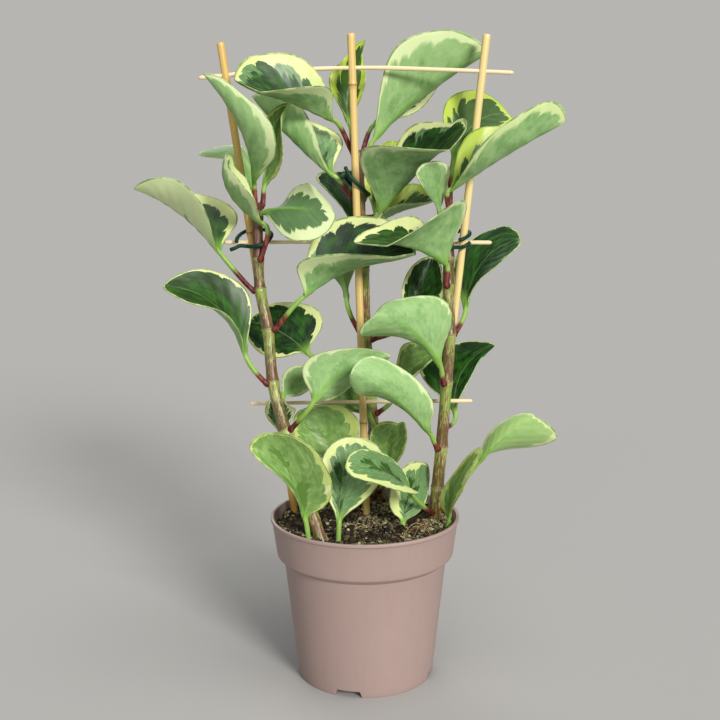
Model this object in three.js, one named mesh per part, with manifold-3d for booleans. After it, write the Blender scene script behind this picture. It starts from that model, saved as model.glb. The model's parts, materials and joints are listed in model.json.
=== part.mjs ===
// Variegated baby rubber plant in a 12 cm nursery pot: three stems tied to a bamboo rack.
// Millimetres, +Z up. The origin is the middle of the pot's underside; -Y faces the viewer.

import * as THREE from "three";
import { mergeVertices } from "three/addons/utils/BufferGeometryUtils.js";
import Module from "manifold-3d";

const wasm = await Module();
wasm.setup();

// Room left between two solids that touch on the real plant
const GAP = 0.3;

// Pot: radius and height of each corner of its section
const POT_SIDES = 36;
const POT_HEIGHT = 104.7;
const POT_WALL = 1.3;
const FOOT_RADIUS = 43.7;
const FOOT_HEIGHT = 4.3;
const FOOT_LEDGE = 3.4;
const FOOT_EDGE = 2.6;
const CREASE = [52, 77];
const BAND_BOTTOM = [56.2, 82];
const BAND_TOP = [59.3, 102.2];
const LIP_RADIUS = 60.2;
const LIP_STEP = 0.6;
const LIP_WIDTH = 2;
const INNER_STEP = 1;
const PAD_RADIUS = 14;
const PAD_FLARE = 1.5;
const PAD_DISH = 1.2;
const NOTCH_COUNT = 4;
const NOTCH_TURN = -14.7;
const NOTCH_BOTTOM = 17.4;
const NOTCH_TOP = 14.6;
const NOTCH_HEIGHT = 4;
const NOTCH_DEPTH = 12;
const DRAIN_COUNT = 8;
const DRAIN_RADIUS = 4;
const DRAIN_CIRCLE = 29;

// Soil: its mean surface, and how far the stalks and stems reach down into it
const SOIL_LEVEL = 98;
const SOIL_LUMP = 1.3;
const SOIL_RINGS = [8, 21, 34, 47];
const SOIL_SHOULDER = 4;
const STEM_ROOT = 70;
const STALK_ROOT = 84;
const STALK_TOP = 100;
const CANE_FOOT = 14;

// Rack: three canes [foot at soil level, top], and three crossbars through drilled holes
const CANE_RADIUS = 2.4;
const CANES = {
  left: [[-46, 19, 98], [-87, 20, 399]],
  middle: [[1, 19, 98], [-7, 20, 404]],
  right: [[44, 19, 98], [76, 20, 403]],
};
const BAR_RADIUS = 1.15;
const BAR_HOLE = 1.65;
const CROSSBARS = {
  top: [[-101, 19.9, 378], [-50, 19.9, 382], [0, 19.9, 383.5], [50, 19.9, 382], [93, 19.9, 380]],
  middle: [[-88, 19.6, 277], [-30, 19.6, 277], [30, 19.6, 276.5], [81, 19.6, 276]],
  bottom: [[-74, 19.2, 173], [-30, 19.2, 173.5], [30, 19.2, 174], [70, 19.2, 174]],
};

// Stems: points on the axis from the soil up, and the heights of their swollen nodes
const STEM_RADIUS_LOW = 3.9;
const STEM_RADIUS_TOP = 3.2;
const NODE_SWELL = 0.5;
const NODE_REACH = 3;
const STEMS = {
  left: {
    axis: [[-27, -33, 98], [-38, -24, 131], [-49, -12, 162], [-57, -3, 191], [-60, 4, 223],
      [-65, 9, 249], [-66, 12, 276], [-66, 14, 302]],
    nodes: [126, 162, 191, 223, 248, 267, 292],
  },
  middle: {
    axis: [[9, 43, 98], [8, 42, 128], [6, 40, 156], [3, 37, 190], [1, 33, 225], [0, 31, 260],
      [-2, 29, 300], [-3, 29, 334]],
    nodes: [120, 147, 174, 218, 259, 283, 307, 328],
  },
  right: {
    axis: [[45, 6, 98], [47, 5, 122], [49, 4, 147], [52, 4, 190], [54, 6, 219], [53, 9, 245],
      [53, 11, 271], [53, 13, 299]],
    nodes: [120, 147, 189, 219, 250, 267, 290],
  },
};

// Leaves: [name, height of the stalk on its stem or [x, y] in the soil, midrib base, middle and
// tip, two points on one rim, two points on the other rim]
const LEAVES = [
  ["left_1", 162, [[-31, -24, 183], [-12, -20, 201], [16, -14, 210]],
    [[-19, -14, 183], [2, -8, 199]], [[-38, -12, 201], [-15, -8, 213]]],
  ["left_2", 165, [[-52, 4, 155], [-54, 11, 168], [-56, 14, 180]],
    [[-62, 8, 166], [-61, 12, 176]], [[-45, 10, 168], [-48, 12, 173]]],
  ["left_3", 178, [[-52, 3, 180], [-44, 17, 187], [-34, 30, 192]],
    [[-46, 7, 180], [-35, 22, 182]], [[-52, 13, 192], [-42, 30, 196]]],
  ["left_4", 191, [[-73, -6, 208], [-92, -4, 240], [-122, -12, 253]],
    [[-79, -24, 234], [-101, -22, 243]], [[-71, 8, 240], [-96, 4, 261]]],
  ["left_5", 223, [[-38, 0, 244], [-7, 4, 261], [32, -2, 271]],
    [[-37, -12, 268], [9, -18, 271]], [[-30, 10, 281], [9, 12, 292]]],
  ["left_6", 248, [[-89, 8, 271], [-114, 14, 295], [-140, 2, 311]],
    [[-96, -10, 299], [-115, -8, 317]], [[-80, 26, 294], [-113, 32, 308]]],
  ["left_7", 267, [[-61, 4, 289], [-82, -4, 310], [-82, -6, 332]],
    [[-66, -16, 306], [-79, -14, 322]], [[-68, 4, 309], [-77, 2, 323]]],
  ["left_8", 292, [[-62, 6, 296], [-40, -6, 299], [-17, -14, 295]],
    [[-50, -12, 285], [-31, -21, 281]], [[-49, 12, 303], [-35, -3, 314]]],
  ["left_9", 296, [[-70, 28, 308], [-81, 38, 329], [-106, 46, 332]],
    [[-76, 31, 318], [-88, 36, 328]], [[-75, 48, 333], [-92, 56, 337]]],
  ["left_10", 299, [[-67, 8, 314], [-72, -14, 345], [-94, -8, 378]],
    [[-51, -20, 335], [-68, -22, 364]], [[-65, 15, 337], [-78, 8, 365]]],
  ["left_11", 300, [[-62, 18, 311], [-56, 22, 337], [-45, 16, 362]],
    [[-51, 10, 323], [-50, 12, 351]], [[-63, 24, 334], [-59, 22, 354]]],
  ["middle_1", 104, [[-16, 8, 133], [-27, 14, 154], [-40, 20, 169]],
    [[-37, 3, 146], [-45, 6, 160]], [[-5, 2, 153], [-11, 12, 171]]],
  ["middle_2", 108, [[14, 22, 123], [16, 26, 140], [22, 24, 158]],
    [[6, 25, 139], [6, 26, 155]], [[24, 14, 139], [27, 16, 156]]],
  ["middle_3", 120, [[1, 66, 121], [-10, 84, 122], [-19, 102, 120]],
    [[-6, 78, 107], [-25, 98, 106]], [[-10, 72, 138], [-22, 92, 139]]],
  ["middle_4", 147, [[5, 33, 158], [-11, 35, 174], [-28, 34, 185]],
    [[-8, 30, 165], [-24, 28, 173]], [[1, 27, 183], [-16, 35, 193]]],
  ["middle_5", 162, [[18, 30, 172], [28, 20, 189], [46, 18, 204]],
    [[24, 12, 185], [38, 10, 199]], [[21, 28, 198], [31, 30, 211]]],
  ["middle_6", 172, [[8, 60, 177], [12, 84, 177], [16, 108, 174]],
    [[-7, 70, 182], [-8, 94, 185]], [[29, 70, 181], [33, 94, 183]]],
  ["middle_7", 204, [[-36, 28, 204], [-56, 36, 218], [-77, 44, 223]],
    [[-52, 29, 202], [-70, 35, 205]], [[-27, 32, 226], [-52, 42, 236]]],
  ["middle_8", 212, [[25, 30, 222], [36, 40, 243], [45, 48, 265]],
    [[47, 30, 235], [52, 38, 253]], [[25, 32, 238], [29, 38, 256]]],
  ["middle_9", 218, [[-11, 30, 239], [-13, 36, 254], [-18, 44, 271]],
    [[-18, 38, 251], [-25, 46, 262]], [[-8, 44, 252], [-5, 54, 264]]],
  ["middle_10", 257, [[2, 48, 264], [-1, 74, 270], [-4, 102, 270]],
    [[-20, 62, 271], [-24, 88, 279]], [[21, 62, 268], [20, 88, 276]]],
  ["middle_11", 272, [[-7, 32, 285], [-10, 44, 304], [-18, 62, 320]],
    [[-18, 36, 303], [-30, 48, 316]], [[2, 38, 302], [3, 52, 318]]],
  ["middle_12", 278, [[11, 36, 290], [27, 46, 296], [48, 52, 302]],
    [[16, 26, 298], [39, 36, 301]], [[22, 48, 307], [39, 60, 311]]],
  ["middle_13", 285, [[10, 22, 295], [34, 10, 320], [62, -2, 347]],
    [[-1, -4, 332], [43, -20, 333]], [[22, 24, 339], [50, 10, 350]]],
  ["middle_14", 291, [[8, 36, 294], [8, 44, 318], [19, 50, 340]],
    [[2, 38, 308], [3, 40, 329]], [[15, 46, 309], [26, 54, 329]]],
  ["middle_15", 303, [[-18, 22, 318], [-47, 24, 343], [-70, 40, 368]],
    [[-29, 14, 341], [-43, 30, 366]], [[-14, 34, 342], [-47, 44, 355]]],
  ["middle_16", 331, [[7, 47, 350], [28, 66, 368], [50, 88, 384]],
    [[14, 62, 366], [34, 76, 384]], [[29, 58, 356], [47, 76, 371]]],
  ["middle_17", 326, [[6, 30, 339], [39, 38, 370], [79, 36, 394]],
    [[13, 26, 381], [42, 28, 406]], [[33, 56, 366], [62, 58, 389]]],
  ["middle_18", 330, [[-8, 34, 350], [-9, 42, 373], [1, 50, 403]],
    [[-20, 34, 372], [-15, 38, 387]], [[1, 38, 373], [0, 54, 394]]],
  ["middle_19", 332, [[-18, 20, 352], [-44, 4, 362], [-76, -6, 375]],
    [[-21, -2, 370], [-53, -20, 367]], [[-27, 14, 380], [-58, 8, 391]]],
  ["right_1", 104, [[29, -20, 123], [11, -42, 145], [-11, -53, 153]],
    [[30, -46, 132], [-1, -62, 145]], [[23, -22, 140], [2, -42, 158]]],
  ["right_2", 107, [[73, 0, 139], [87, -6, 155], [107, -6, 169]],
    [[89, 8, 144], [120, 6, 150]], [[78, 6, 153], [94, 4, 167]]],
  ["right_3", 147, [[41, -8, 159], [16, -34, 189], [-8, -44, 205]],
    [[18, -14, 181], [-2, -32, 189]], [[41, -18, 183], [11, -32, 211]]],
  ["right_4", 158, [[60, 30, 163], [65, 38, 189], [86, 38, 208]],
    [[67, 32, 182], [78, 36, 200]], [[38, 46, 187], [56, 58, 204]]],
  ["right_5", 189, [[47, -6, 202], [27, -26, 228], [6, -34, 237]],
    [[27, -10, 220], [0, -26, 224]], [[53, -8, 237], [24, -20, 246]]],
  ["right_6", 200, [[44, 22, 213], [36, 50, 217], [30, 80, 212]],
    [[26, 36, 219], [20, 62, 222]], [[52, 44, 220], [48, 70, 221]]],
  ["right_7", 219, [[65, 20, 233], [77, 34, 262], [102, 40, 277]],
    [[72, 20, 250], [90, 26, 265]], [[59, 38, 261], [86, 52, 283]]],
  ["right_8", 250, [[51, 4, 264], [27, -16, 276], [-6, -30, 280]],
    [[62, -6, 302], [22, -40, 283]], [[36, 6, 290], [13, -14, 290]]],
  ["right_9", 285, [[47, 8, 293], [44, 3, 311], [39, -5, 326]],
    [[40, 0, 306], [32, -9, 318]], [[52, 20, 309], [53, 18, 323]]],
  ["right_10", 295, [[53, 8, 309], [85, 0, 329], [120, -8, 349]],
    [[68, -14, 333], [103, -12, 359]], [[61, 9, 339], [94, 12, 348]]],
  ["right_11", 296, [[57, 28, 327], [71, 38, 350], [93, 42, 356]],
    [[72, 26, 334], [91, 34, 347]], [[51, 36, 357], [72, 48, 371]]],
  ["soil_1", [-34, -37], [[-36, -40, 114], [-44, -44, 143], [-55, -52, 171]],
    [[-21, -48, 129], [-29, -54, 160]], [[-47, -52, 141], [-66, -55, 160]]],
  ["soil_2", [-17, -33], [[-16, -34, 110], [-14, -28, 135], [-8, -20, 160]],
    [[2, -33, 126], [11, -24, 148]], [[-24, -32, 128], [-25, -26, 150]]],
  ["soil_3", [25, -15], [[24, -10, 102], [28, -2, 116], [36, 8, 136]],
    [[16, -12, 113], [21, -6, 132]], [[36, -4, 109], [42, 14, 125]]],
  ["soil_4", [49, -12], [[53, -10, 103], [57, -16, 129], [72, -20, 153]],
    [[57, -24, 121], [65, -28, 140]], [[48, -4, 115], [61, -10, 141]]],
];

// Blade: where along the midrib the rim points lie, where it is widest, and its thickness
const RIM_STATIONS = [0.35, 0.75];
const WIDEST = 0.6;
const BASE_POWER = 1.5;
const CREASED_SHARE = 0.25;
const BLADE_HALF = 0.5;
const EDGE_HALF = 0.3;
const STALK_RADIUS_STEM = 1.9;
const STALK_RADIUS_BLADE = 1.5;
const STALK_FADE = 0.14;
const MIDRIB_FADE = 0.5;
const STALK_LEAVE = 6;
const STALK_LEAVE_SHARE = 0.35;
const STALK_MEET_SHARE = 0.3;
const STALK_STATIONS = [0, 0.25, 0.5, 0.75];
const BLADE_STATIONS = [0, 0.14, 0.34, 0.54, 0.74, 0.91, 0.9985];
const ACROSS = [-1, -0.5, 0, 0.5, 1];
const ROUND_ANGLE = THREE.MathUtils.degToRad(67.5);

// Ties: coated wire laid round a cane and its stem, as points along each wire
const TIE_RADIUS = 1.1;
const TIE_SIDES = 6;
const TIE_STEPS = 40;
const TIES = {
  left: [
    [-82.9, 7, 273.2], [-79.7, 7, 274.4], [-76.8, 8.6, 275.6], [-73.2, 10, 275.3], [-69.2, 7.4, 275.2],
    [-65, 6, 275.9], [-61.4, 7.4, 277.1], [-58.9, 11.5, 278.9], [-57.7, 16.5, 282.3],
    [-61.6, 22, 284.5], [-67.5, 24.5, 284.7], [-73.1, 23.8, 284.2], [-76.9, 20, 282.5],
    [-79.1, 15.5, 280], [-79.4, 13, 277.4],
  ],
  middle: [
    [-11.2, 15.5, 323.8], [-9.1, 14.8, 319.2], [-6.3, 14.6, 315.8], [-2.9, 15.4, 312.4],
    [0.2, 20, 309.2], [3, 26.5, 306.9], [3.6, 32.8, 306.1], [0.6, 38, 306.9], [-5.5, 38.5, 310.8],
    [-9.9, 33, 315.3], [-11.4, 25, 317.9], [-11.9, 17.5, 318.3], [-13.1, 14, 316.8],
  ],
  right: [
    [59.4, 13.6, 278.1], [62.2, 13.6, 278.8], [66.2, 17.2, 280.7], [66.9, 21.8, 282.4],
    [62.6, 25, 283.4], [57.7, 23, 282.2], [53, 19.5, 280.6], [48.1, 17.5, 278.6], [45.5, 11.5, 276.5],
    [47.6, 5.4, 274.1], [52.2, 4.4, 273.6], [57, 7, 274.1], [61, 12.8, 273.6], [64.9, 14.8, 274.9],
    [66.9, 16.4, 276.5],
  ],
};

// Colours as in the photograph
const finish = (color, roughness) => new THREE.MeshStandardMaterial({ color, roughness, metalness: 0 });
const COLOURS = {
  pot: [0xb0988e, 0.65],
  soil: [0x3a2a1e, 1],
  bamboo: [0xe6cf86, 0.55],
  bar: [0xeadcae, 0.6],
  stem: [0x6e4a38, 0.45],
  tie: [0x0f4a44, 0.5],
  leaf: [0x4f7f4a, 0.35],
};

const vector = (point) => new THREE.Vector3(...point);
const UP = new THREE.Vector3(0, 0, 1);

// Join the vertices that coincide and drop the triangles this leaves flat
function welded(geometry) {
  const bare = geometry.clone();
  bare.deleteAttribute("normal");
  bare.deleteAttribute("uv");
  const merged = mergeVertices(bare, 1e-3);
  const index = merged.getIndex().array;
  const kept = [];
  for (let i = 0; i < index.length; i += 3) {
    const [a, b, c] = index.slice(i, i + 3);
    if (a !== b && b !== c && c !== a) kept.push(a, b, c);
  }
  merged.setIndex(kept);
  return merged;
}

// A closed geometry as a solid that can be cut
function solid(geometry) {
  const merged = welded(geometry);
  return new wasm.Manifold(new wasm.Mesh({
    numProp: 3,
    vertProperties: Float32Array.from(merged.getAttribute("position").array),
    triVerts: Uint32Array.from(merged.getIndex().array),
  }));
}

// A cut solid as a geometry again
function geometryOf(body) {
  const cut = body.getMesh();
  const geometry = new THREE.BufferGeometry();
  geometry.setAttribute("position", new THREE.BufferAttribute(Float32Array.from(cut.vertProperties), 3));
  geometry.setIndex(Array.from(cut.triVerts));
  geometry.computeVertexNormals();
  return geometry;
}

function cutBy(geometry, cutters) {
  let body = solid(geometry);
  for (const cutter of cutters) body = body.subtract(solid(cutter));
  return geometryOf(body);
}

function mesh(name, geometry, colour) {
  const piece = new THREE.Mesh(geometry, finish(...COLOURS[colour]));
  piece.name = name;
  return piece;
}

// A closed skin over rings of points that all run the same way round, with flat ends
function loft(rings, splitAlike = false) {
  const count = rings[0].length;
  const positions = rings.flat().flatMap((point) => point.toArray());
  const index = [];
  for (let i = 0; i + 1 < rings.length; i += 1) {
    for (let j = 0; j < count; j += 1) {
      const next = (j + 1) % count;
      const [a, b, c, d] = [i * count + j, i * count + next, (i + 1) * count + next, (i + 1) * count + j];
      const underside = splitAlike && j >= count / 2;
      if (underside) index.push(a, b, d, b, c, d);
      else index.push(a, b, c, a, c, d);
    }
  }
  const last = (rings.length - 1) * count;
  for (let low = 0, high = count - 1; high - low > 1;) {
    index.push(low, high, low + 1, last + low, last + low + 1, last + high);
    low += 1;
    if (high - low > 1) {
      index.push(low, high, high - 1, last + low, last + high - 1, last + high);
      high -= 1;
    }
  }
  const geometry = new THREE.BufferGeometry();
  geometry.setAttribute("position", new THREE.Float32BufferAttribute(positions, 3));
  geometry.setIndex(index);
  geometry.computeVertexNormals();
  return geometry;
}

// A round section of the given number of sides, for tubes along a path
function roundShape(radius, sides) {
  const corner = (k) => {
    const angle = (2 * Math.PI * k) / sides;
    return new THREE.Vector2(radius * Math.cos(angle), radius * Math.sin(angle));
  };
  return new THREE.Shape(Array.from({ length: sides }, (_, k) => corner(k)));
}

function tube(points, radius, sides, steps) {
  const path = new THREE.CatmullRomCurve3(points, false, "catmullrom", 0.5);
  return new THREE.ExtrudeGeometry(roundShape(radius, sides), {
    steps,
    bevelEnabled: false,
    extrudePath: path,
  });
}

// A straight rod or drill between two points
function rod(start, end, radius, sides) {
  const along = end.clone().sub(start);
  const geometry = new THREE.CylinderGeometry(radius, radius, along.length(), sides);
  const turn = new THREE.Quaternion().setFromUnitVectors(new THREE.Vector3(0, 1, 0), along.clone().normalize());
  geometry.applyQuaternion(turn);
  geometry.translate(...start.clone().add(end).multiplyScalar(0.5).toArray());
  return geometry;
}

// A turned shape about the vertical axis from [radius, height] corners
function turned(corners, sides) {
  const profile = corners.map(([radius, height]) => new THREE.Vector2(radius, height));
  return new THREE.LatheGeometry(profile, sides).rotateX(Math.PI / 2);
}

// Inner radius of the pot's wall at a height of its body or band
function innerRadius(height) {
  const [low, high] = height < CREASE[1] ? [[FOOT_RADIUS, 0], CREASE]
    : height < BAND_BOTTOM[1] ? [CREASE, BAND_BOTTOM] : [BAND_BOTTOM, BAND_TOP];
  const share = (height - low[1]) / (high[1] - low[1]);
  return low[0] + share * (high[0] - low[0]) - POT_WALL;
}

function buildPot() {
  const floorTop = FOOT_HEIGHT + POT_WALL;
  const body = turned([
    [0, 0], [PAD_RADIUS, 0], [PAD_RADIUS + PAD_FLARE, FOOT_HEIGHT],
    [FOOT_RADIUS - FOOT_LEDGE, FOOT_HEIGHT], [FOOT_RADIUS - FOOT_EDGE, 0], [FOOT_RADIUS, 0],
    CREASE, BAND_BOTTOM, BAND_TOP, [LIP_RADIUS, BAND_TOP[1] + LIP_STEP], [LIP_RADIUS, POT_HEIGHT],
    [LIP_RADIUS - LIP_WIDTH, POT_HEIGHT],
    [innerRadius(BAND_BOTTOM[1]), BAND_BOTTOM[1] + INNER_STEP],
    [innerRadius(CREASE[1]), CREASE[1] + INNER_STEP],
    [innerRadius(floorTop), floorTop], [PAD_RADIUS + PAD_FLARE - POT_WALL, floorTop],
    [PAD_RADIUS - PAD_DISH, POT_WALL], [0, POT_WALL],
  ], POT_SIDES);

  const cutters = [];
  for (let k = 0; k < NOTCH_COUNT; k += 1) {
    const section = new THREE.Shape([
      new THREE.Vector2(-NOTCH_BOTTOM / 2, -1),
      new THREE.Vector2(NOTCH_BOTTOM / 2, -1),
      new THREE.Vector2(NOTCH_TOP / 2, NOTCH_HEIGHT),
      new THREE.Vector2(-NOTCH_TOP / 2, NOTCH_HEIGHT),
    ]);
    const notch = new THREE.ExtrudeGeometry(section, { depth: NOTCH_DEPTH, bevelEnabled: false });
    notch.rotateX(Math.PI / 2);
    notch.translate(0, -(FOOT_RADIUS - NOTCH_DEPTH * 2 / 3), 0);
    notch.rotateZ(THREE.MathUtils.degToRad(NOTCH_TURN) + (2 * Math.PI * k) / NOTCH_COUNT);
    cutters.push(notch);
  }
  for (let k = 0; k < DRAIN_COUNT; k += 1) {
    const angle = (2 * Math.PI * (k + 0.5)) / DRAIN_COUNT;
    const place = new THREE.Vector3(DRAIN_CIRCLE * Math.cos(angle), DRAIN_CIRCLE * Math.sin(angle), 0);
    cutters.push(rod(place, place.clone().setZ(floorTop + 2), DRAIN_RADIUS, 8));
  }
  return mesh("pot", cutBy(body, cutters), "pot");
}

// Lumps of the soil's surface, highest near the pot's middle and flat at the wall
function soilHeight(x, y) {
  const lumps = Math.sin(0.17 * x + 0.6) * Math.cos(0.15 * y - 0.4) + 0.6 * Math.sin(0.31 * y + 0.23 * x);
  return SOIL_LEVEL + SOIL_LUMP * lumps;
}

function buildSoil(drills) {
  const floor = FOOT_HEIGHT + POT_WALL + GAP;
  const clear = 1.5 * GAP;
  const inside = (height) => innerRadius(height) - clear;
  const body = turned([
    [0, POT_WALL + GAP], [PAD_RADIUS - PAD_DISH - clear, POT_WALL + GAP], [PAD_RADIUS - GAP, floor],
    [inside(floor), floor], [inside(CREASE[1]), CREASE[1]], [inside(CREASE[1]), CREASE[1] + INNER_STEP + GAP],
    [inside(BAND_BOTTOM[1]), BAND_BOTTOM[1] + INNER_STEP + GAP],
    [inside(SOIL_LEVEL) - clear, SOIL_LEVEL - SOIL_SHOULDER],
    ...SOIL_RINGS.toReversed().map((radius) => [radius, SOIL_LEVEL]), [0, SOIL_LEVEL],
  ], POT_SIDES);
  const position = body.getAttribute("position");
  for (let i = 0; i < position.count; i += 1) {
    if (position.getZ(i) === SOIL_LEVEL) {
      position.setZ(i, soilHeight(position.getX(i), position.getY(i)));
    }
  }
  return mesh("soil", cutBy(body, drills), "soil");
}

// A point on a cane's axis at a height
function onCane(side, height) {
  const [foot, top] = CANES[side].map(vector);
  return foot.clone().lerp(top, (height - foot.z) / (top.z - foot.z));
}

function buildCane(side) {
  const [, top] = CANES[side].map(vector);
  const drills = Object.values(CROSSBARS).map((points) => {
    const path = new THREE.CatmullRomCurve3(points.map(vector), false, "catmullrom", 0.5);
    const middle = atX(path, onCane(side, points[1][2]).x);
    const along = middle.tangent.multiplyScalar(2 * CANE_RADIUS);
    return rod(middle.point.clone().sub(along), middle.point.clone().add(along), BAR_HOLE, 8);
  });
  const geometry = cutBy(rod(onCane(side, CANE_FOOT), top, CANE_RADIUS, 10), drills);
  return mesh(`cane_${side}`, geometry, "bamboo");
}

// The place on a curve that runs one way along an axis where that coordinate has a value
function where(path, axis, value) {
  const rising = path.getPoint(1)[axis] > path.getPoint(0)[axis];
  let [low, high] = [0, 1];
  for (let i = 0; i < 40; i += 1) {
    const half = (low + high) / 2;
    if ((path.getPoint(half)[axis] < value) === rising) low = half;
    else high = half;
  }
  return { point: path.getPoint(low), tangent: path.getTangent(low) };
}
const atX = (path, x) => where(path, "x", x);
const atHeight = (path, z) => where(path, "z", z);

function buildCrossbar(name) {
  const geometry = tube(CROSSBARS[name].map(vector), BAR_RADIUS, 8, 12);
  return mesh(`crossbar_${name}`, geometry, "bar");
}

// A stem's axis, with its buried end in line with its first stretch above the soil
function stemPath(side) {
  const points = STEMS[side].axis.map(vector);
  const lean = points[1].clone().sub(points[0]).normalize();
  const drop = (SOIL_LEVEL - STEM_ROOT) / lean.z;
  const buried = points[0].clone().addScaledVector(lean, -drop);
  return new THREE.CatmullRomCurve3([buried, ...points], false, "catmullrom", 0.5);
}

function stemRadius(side, height) {
  const { axis, nodes } = STEMS[side];
  const top = axis[axis.length - 1][2];
  const share = THREE.MathUtils.clamp((height - SOIL_LEVEL) / (top - SOIL_LEVEL), 0, 1);
  const swell = nodes.reduce((sum, node) => sum + Math.exp(-(((height - node) / NODE_REACH) ** 2)), 0);
  return THREE.MathUtils.lerp(STEM_RADIUS_LOW, STEM_RADIUS_TOP, share) + NODE_SWELL * swell;
}

function buildStem(side) {
  const path = stemPath(side);
  const { axis, nodes } = STEMS[side];
  const top = axis[axis.length - 1][2];
  const around = nodes.flatMap((node) => [node - NODE_REACH, node, node + NODE_REACH]);
  const levels = [STEM_ROOT, SOIL_LEVEL - 6, ...around.filter((z) => z < top - 3), top - 1, top];
  const rings = levels.map((level) => {
    const { point, tangent } = atHeight(path, level);
    const radius = stemRadius(side, level) * (level === top ? 0.7 : 1);
    const right = new THREE.Vector3().crossVectors(new THREE.Vector3(0, 1, 0), tangent).normalize();
    const back = new THREE.Vector3().crossVectors(tangent, right);
    return Array.from({ length: 8 }, (_, k) => {
      const angle = (2 * Math.PI * k) / 8;
      return point.clone().addScaledVector(right, radius * Math.cos(angle))
        .addScaledVector(back, radius * Math.sin(angle));
    });
  });
  return mesh(`stem_${side}`, loft(rings), "stem");
}

// Half width of a blade along its midrib as a share of the widest: pointed base, round tip
function bladeProfile(u) {
  const x = THREE.MathUtils.clamp(u / WIDEST, 0, 1);
  const y = THREE.MathUtils.clamp((u - WIDEST) / (1 - WIDEST), 0, 1);
  if (u < WIDEST) return x ** BASE_POWER * (1 + BASE_POWER * (1 - x));
  return Math.sqrt(1 - y * y);
}

// The blade as a surface: a point for u along the midrib and v from one rim to the other
function bladeSurface(midrib, nearRim, farRim) {
  const [base, middle, tip] = midrib.map(vector);
  const bend = middle.clone().multiplyScalar(2).addScaledVector(base, -0.5).addScaledVector(tip, -0.5);
  const rib = new THREE.QuadraticBezierCurve3(base, bend, tip);
  const reach = (rim) => RIM_STATIONS.map((u, k) =>
    vector(rim[k]).sub(rib.getPoint(u)).divideScalar(bladeProfile(u)));
  let rims = [reach(nearRim), reach(farRim)];
  const side = rims[1][0].clone().add(rims[1][1]).sub(rims[0][0]).sub(rims[0][1]);
  const lift = rims[0][0].clone().add(rims[0][1]).add(rims[1][0]).add(rims[1][1]);
  const facing = new THREE.Vector3().crossVectors(rib.getTangent(0.5), side);
  if (facing.dot(lift) < 0) rims = rims.toReversed();
  const rimAt = (rim, u) => {
    const share = THREE.MathUtils.clamp((u - RIM_STATIONS[0]) / (RIM_STATIONS[1] - RIM_STATIONS[0]), -0.3, 1.15);
    return rim[0].clone().lerp(rim[1], share).multiplyScalar(bladeProfile(u));
  };
  const point = (u, v) => {
    const [left, right] = rims.map((rim) => rimAt(rim, u));
    const rise = (1 - CREASED_SHARE) * v * v + CREASED_SHARE * Math.abs(v);
    return rib.getPoint(u)
      .addScaledVector(right.clone().sub(left), v / 2)
      .addScaledVector(right.clone().add(left), rise / 2);
  };
  const across = rimAt(rims[1], RIM_STATIONS[0]).sub(rimAt(rims[0], RIM_STATIONS[0])).normalize();
  return { rib, point, across };
}

// The way a stalk starts: from its stem's side, or straight up out of the soil
function stalkStart(name, place, base) {
  if (Array.isArray(place)) {
    const at = (height) => new THREE.Vector3(...place, height);
    return { foot: at(STALK_ROOT), root: at(STALK_TOP), out: UP };
  }
  const side = name.split("_")[0];
  const { point, tangent } = atHeight(stemPath(side), place);
  const out = base.clone().sub(point);
  out.addScaledVector(tangent, -out.dot(tangent)).normalize();
  const root = point.clone().addScaledVector(out, stemRadius(side, place) + GAP);
  return { foot: root, root, out };
}

function buildLeaf([name, place, midrib, nearRim, farRim]) {
  const { rib, point, across } = bladeSurface(midrib, nearRim, farRim);
  const base = rib.getPoint(0);
  const { foot, root, out } = stalkStart(name, place, base);
  const distance = root.distanceTo(base);
  const leave = Math.min(STALK_LEAVE, STALK_LEAVE_SHARE * distance);
  const stalk = new THREE.CubicBezierCurve3(
    root,
    root.clone().addScaledVector(out, leave),
    base.clone().addScaledVector(rib.getTangent(0), -STALK_MEET_SHARE * distance),
    base,
  );

  const stalkRings = [];
  let side = across.clone();
  const section = (centre, tangent, radius) => {
    side.addScaledVector(tangent, -side.dot(tangent)).normalize();
    const normal = new THREE.Vector3().crossVectors(tangent, side);
    const at = (v, sign) => centre.clone()
      .addScaledVector(side, radius * Math.sin(ROUND_ANGLE * v))
      .addScaledVector(normal, sign * radius * Math.cos(ROUND_ANGLE * v));
    return [...ACROSS.map((v) => at(v, -1)), ...ACROSS.toReversed().map((v) => at(v, 1))];
  };
  for (const t of STALK_STATIONS.toReversed()) {
    const radius = THREE.MathUtils.lerp(STALK_RADIUS_STEM, STALK_RADIUS_BLADE, t);
    stalkRings.unshift(section(stalk.getPoint(t), stalk.getTangent(t), radius));
  }
  if (foot !== root) stalkRings.unshift(section(foot, UP, STALK_RADIUS_STEM));

  side = across.clone();
  side.addScaledVector(rib.getTangent(0), -side.dot(rib.getTangent(0))).normalize();
  const bladeRings = BLADE_STATIONS.map((u) => {
    const round = STALK_RADIUS_BLADE * Math.max(0, 1 - u / STALK_FADE);
    const keel = STALK_RADIUS_BLADE * Math.max(0, 1 - u / MIDRIB_FADE);
    const grown = Math.min(1, u / STALK_FADE);
    const skin = (s, v) => point(s, v).addScaledVector(side, round * Math.sin(ROUND_ANGLE * v));
    const at = (v, sign) => {
      const s = THREE.MathUtils.clamp(u, 0.02, 0.97);
      const along = skin(s + 0.02, v).sub(skin(s - 0.02, v));
      const over = skin(s, v + 0.05).sub(skin(s, v - 0.05));
      const normal = along.cross(over).normalize();
      const half = grown * THREE.MathUtils.lerp(BLADE_HALF, EDGE_HALF, v ** 4) + round * Math.cos(ROUND_ANGLE * v);
      const rib = sign < 0 && v === 0 ? keel - round : 0;
      return skin(u, v).addScaledVector(normal, sign * (half + rib));
    };
    return [...ACROSS.map((v) => at(v, -1)), ...ACROSS.toReversed().map((v) => at(v, 1))];
  });
  return mesh(`leaf_${name}`, loft([...stalkRings, ...bladeRings], true), "leaf");
}

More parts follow.
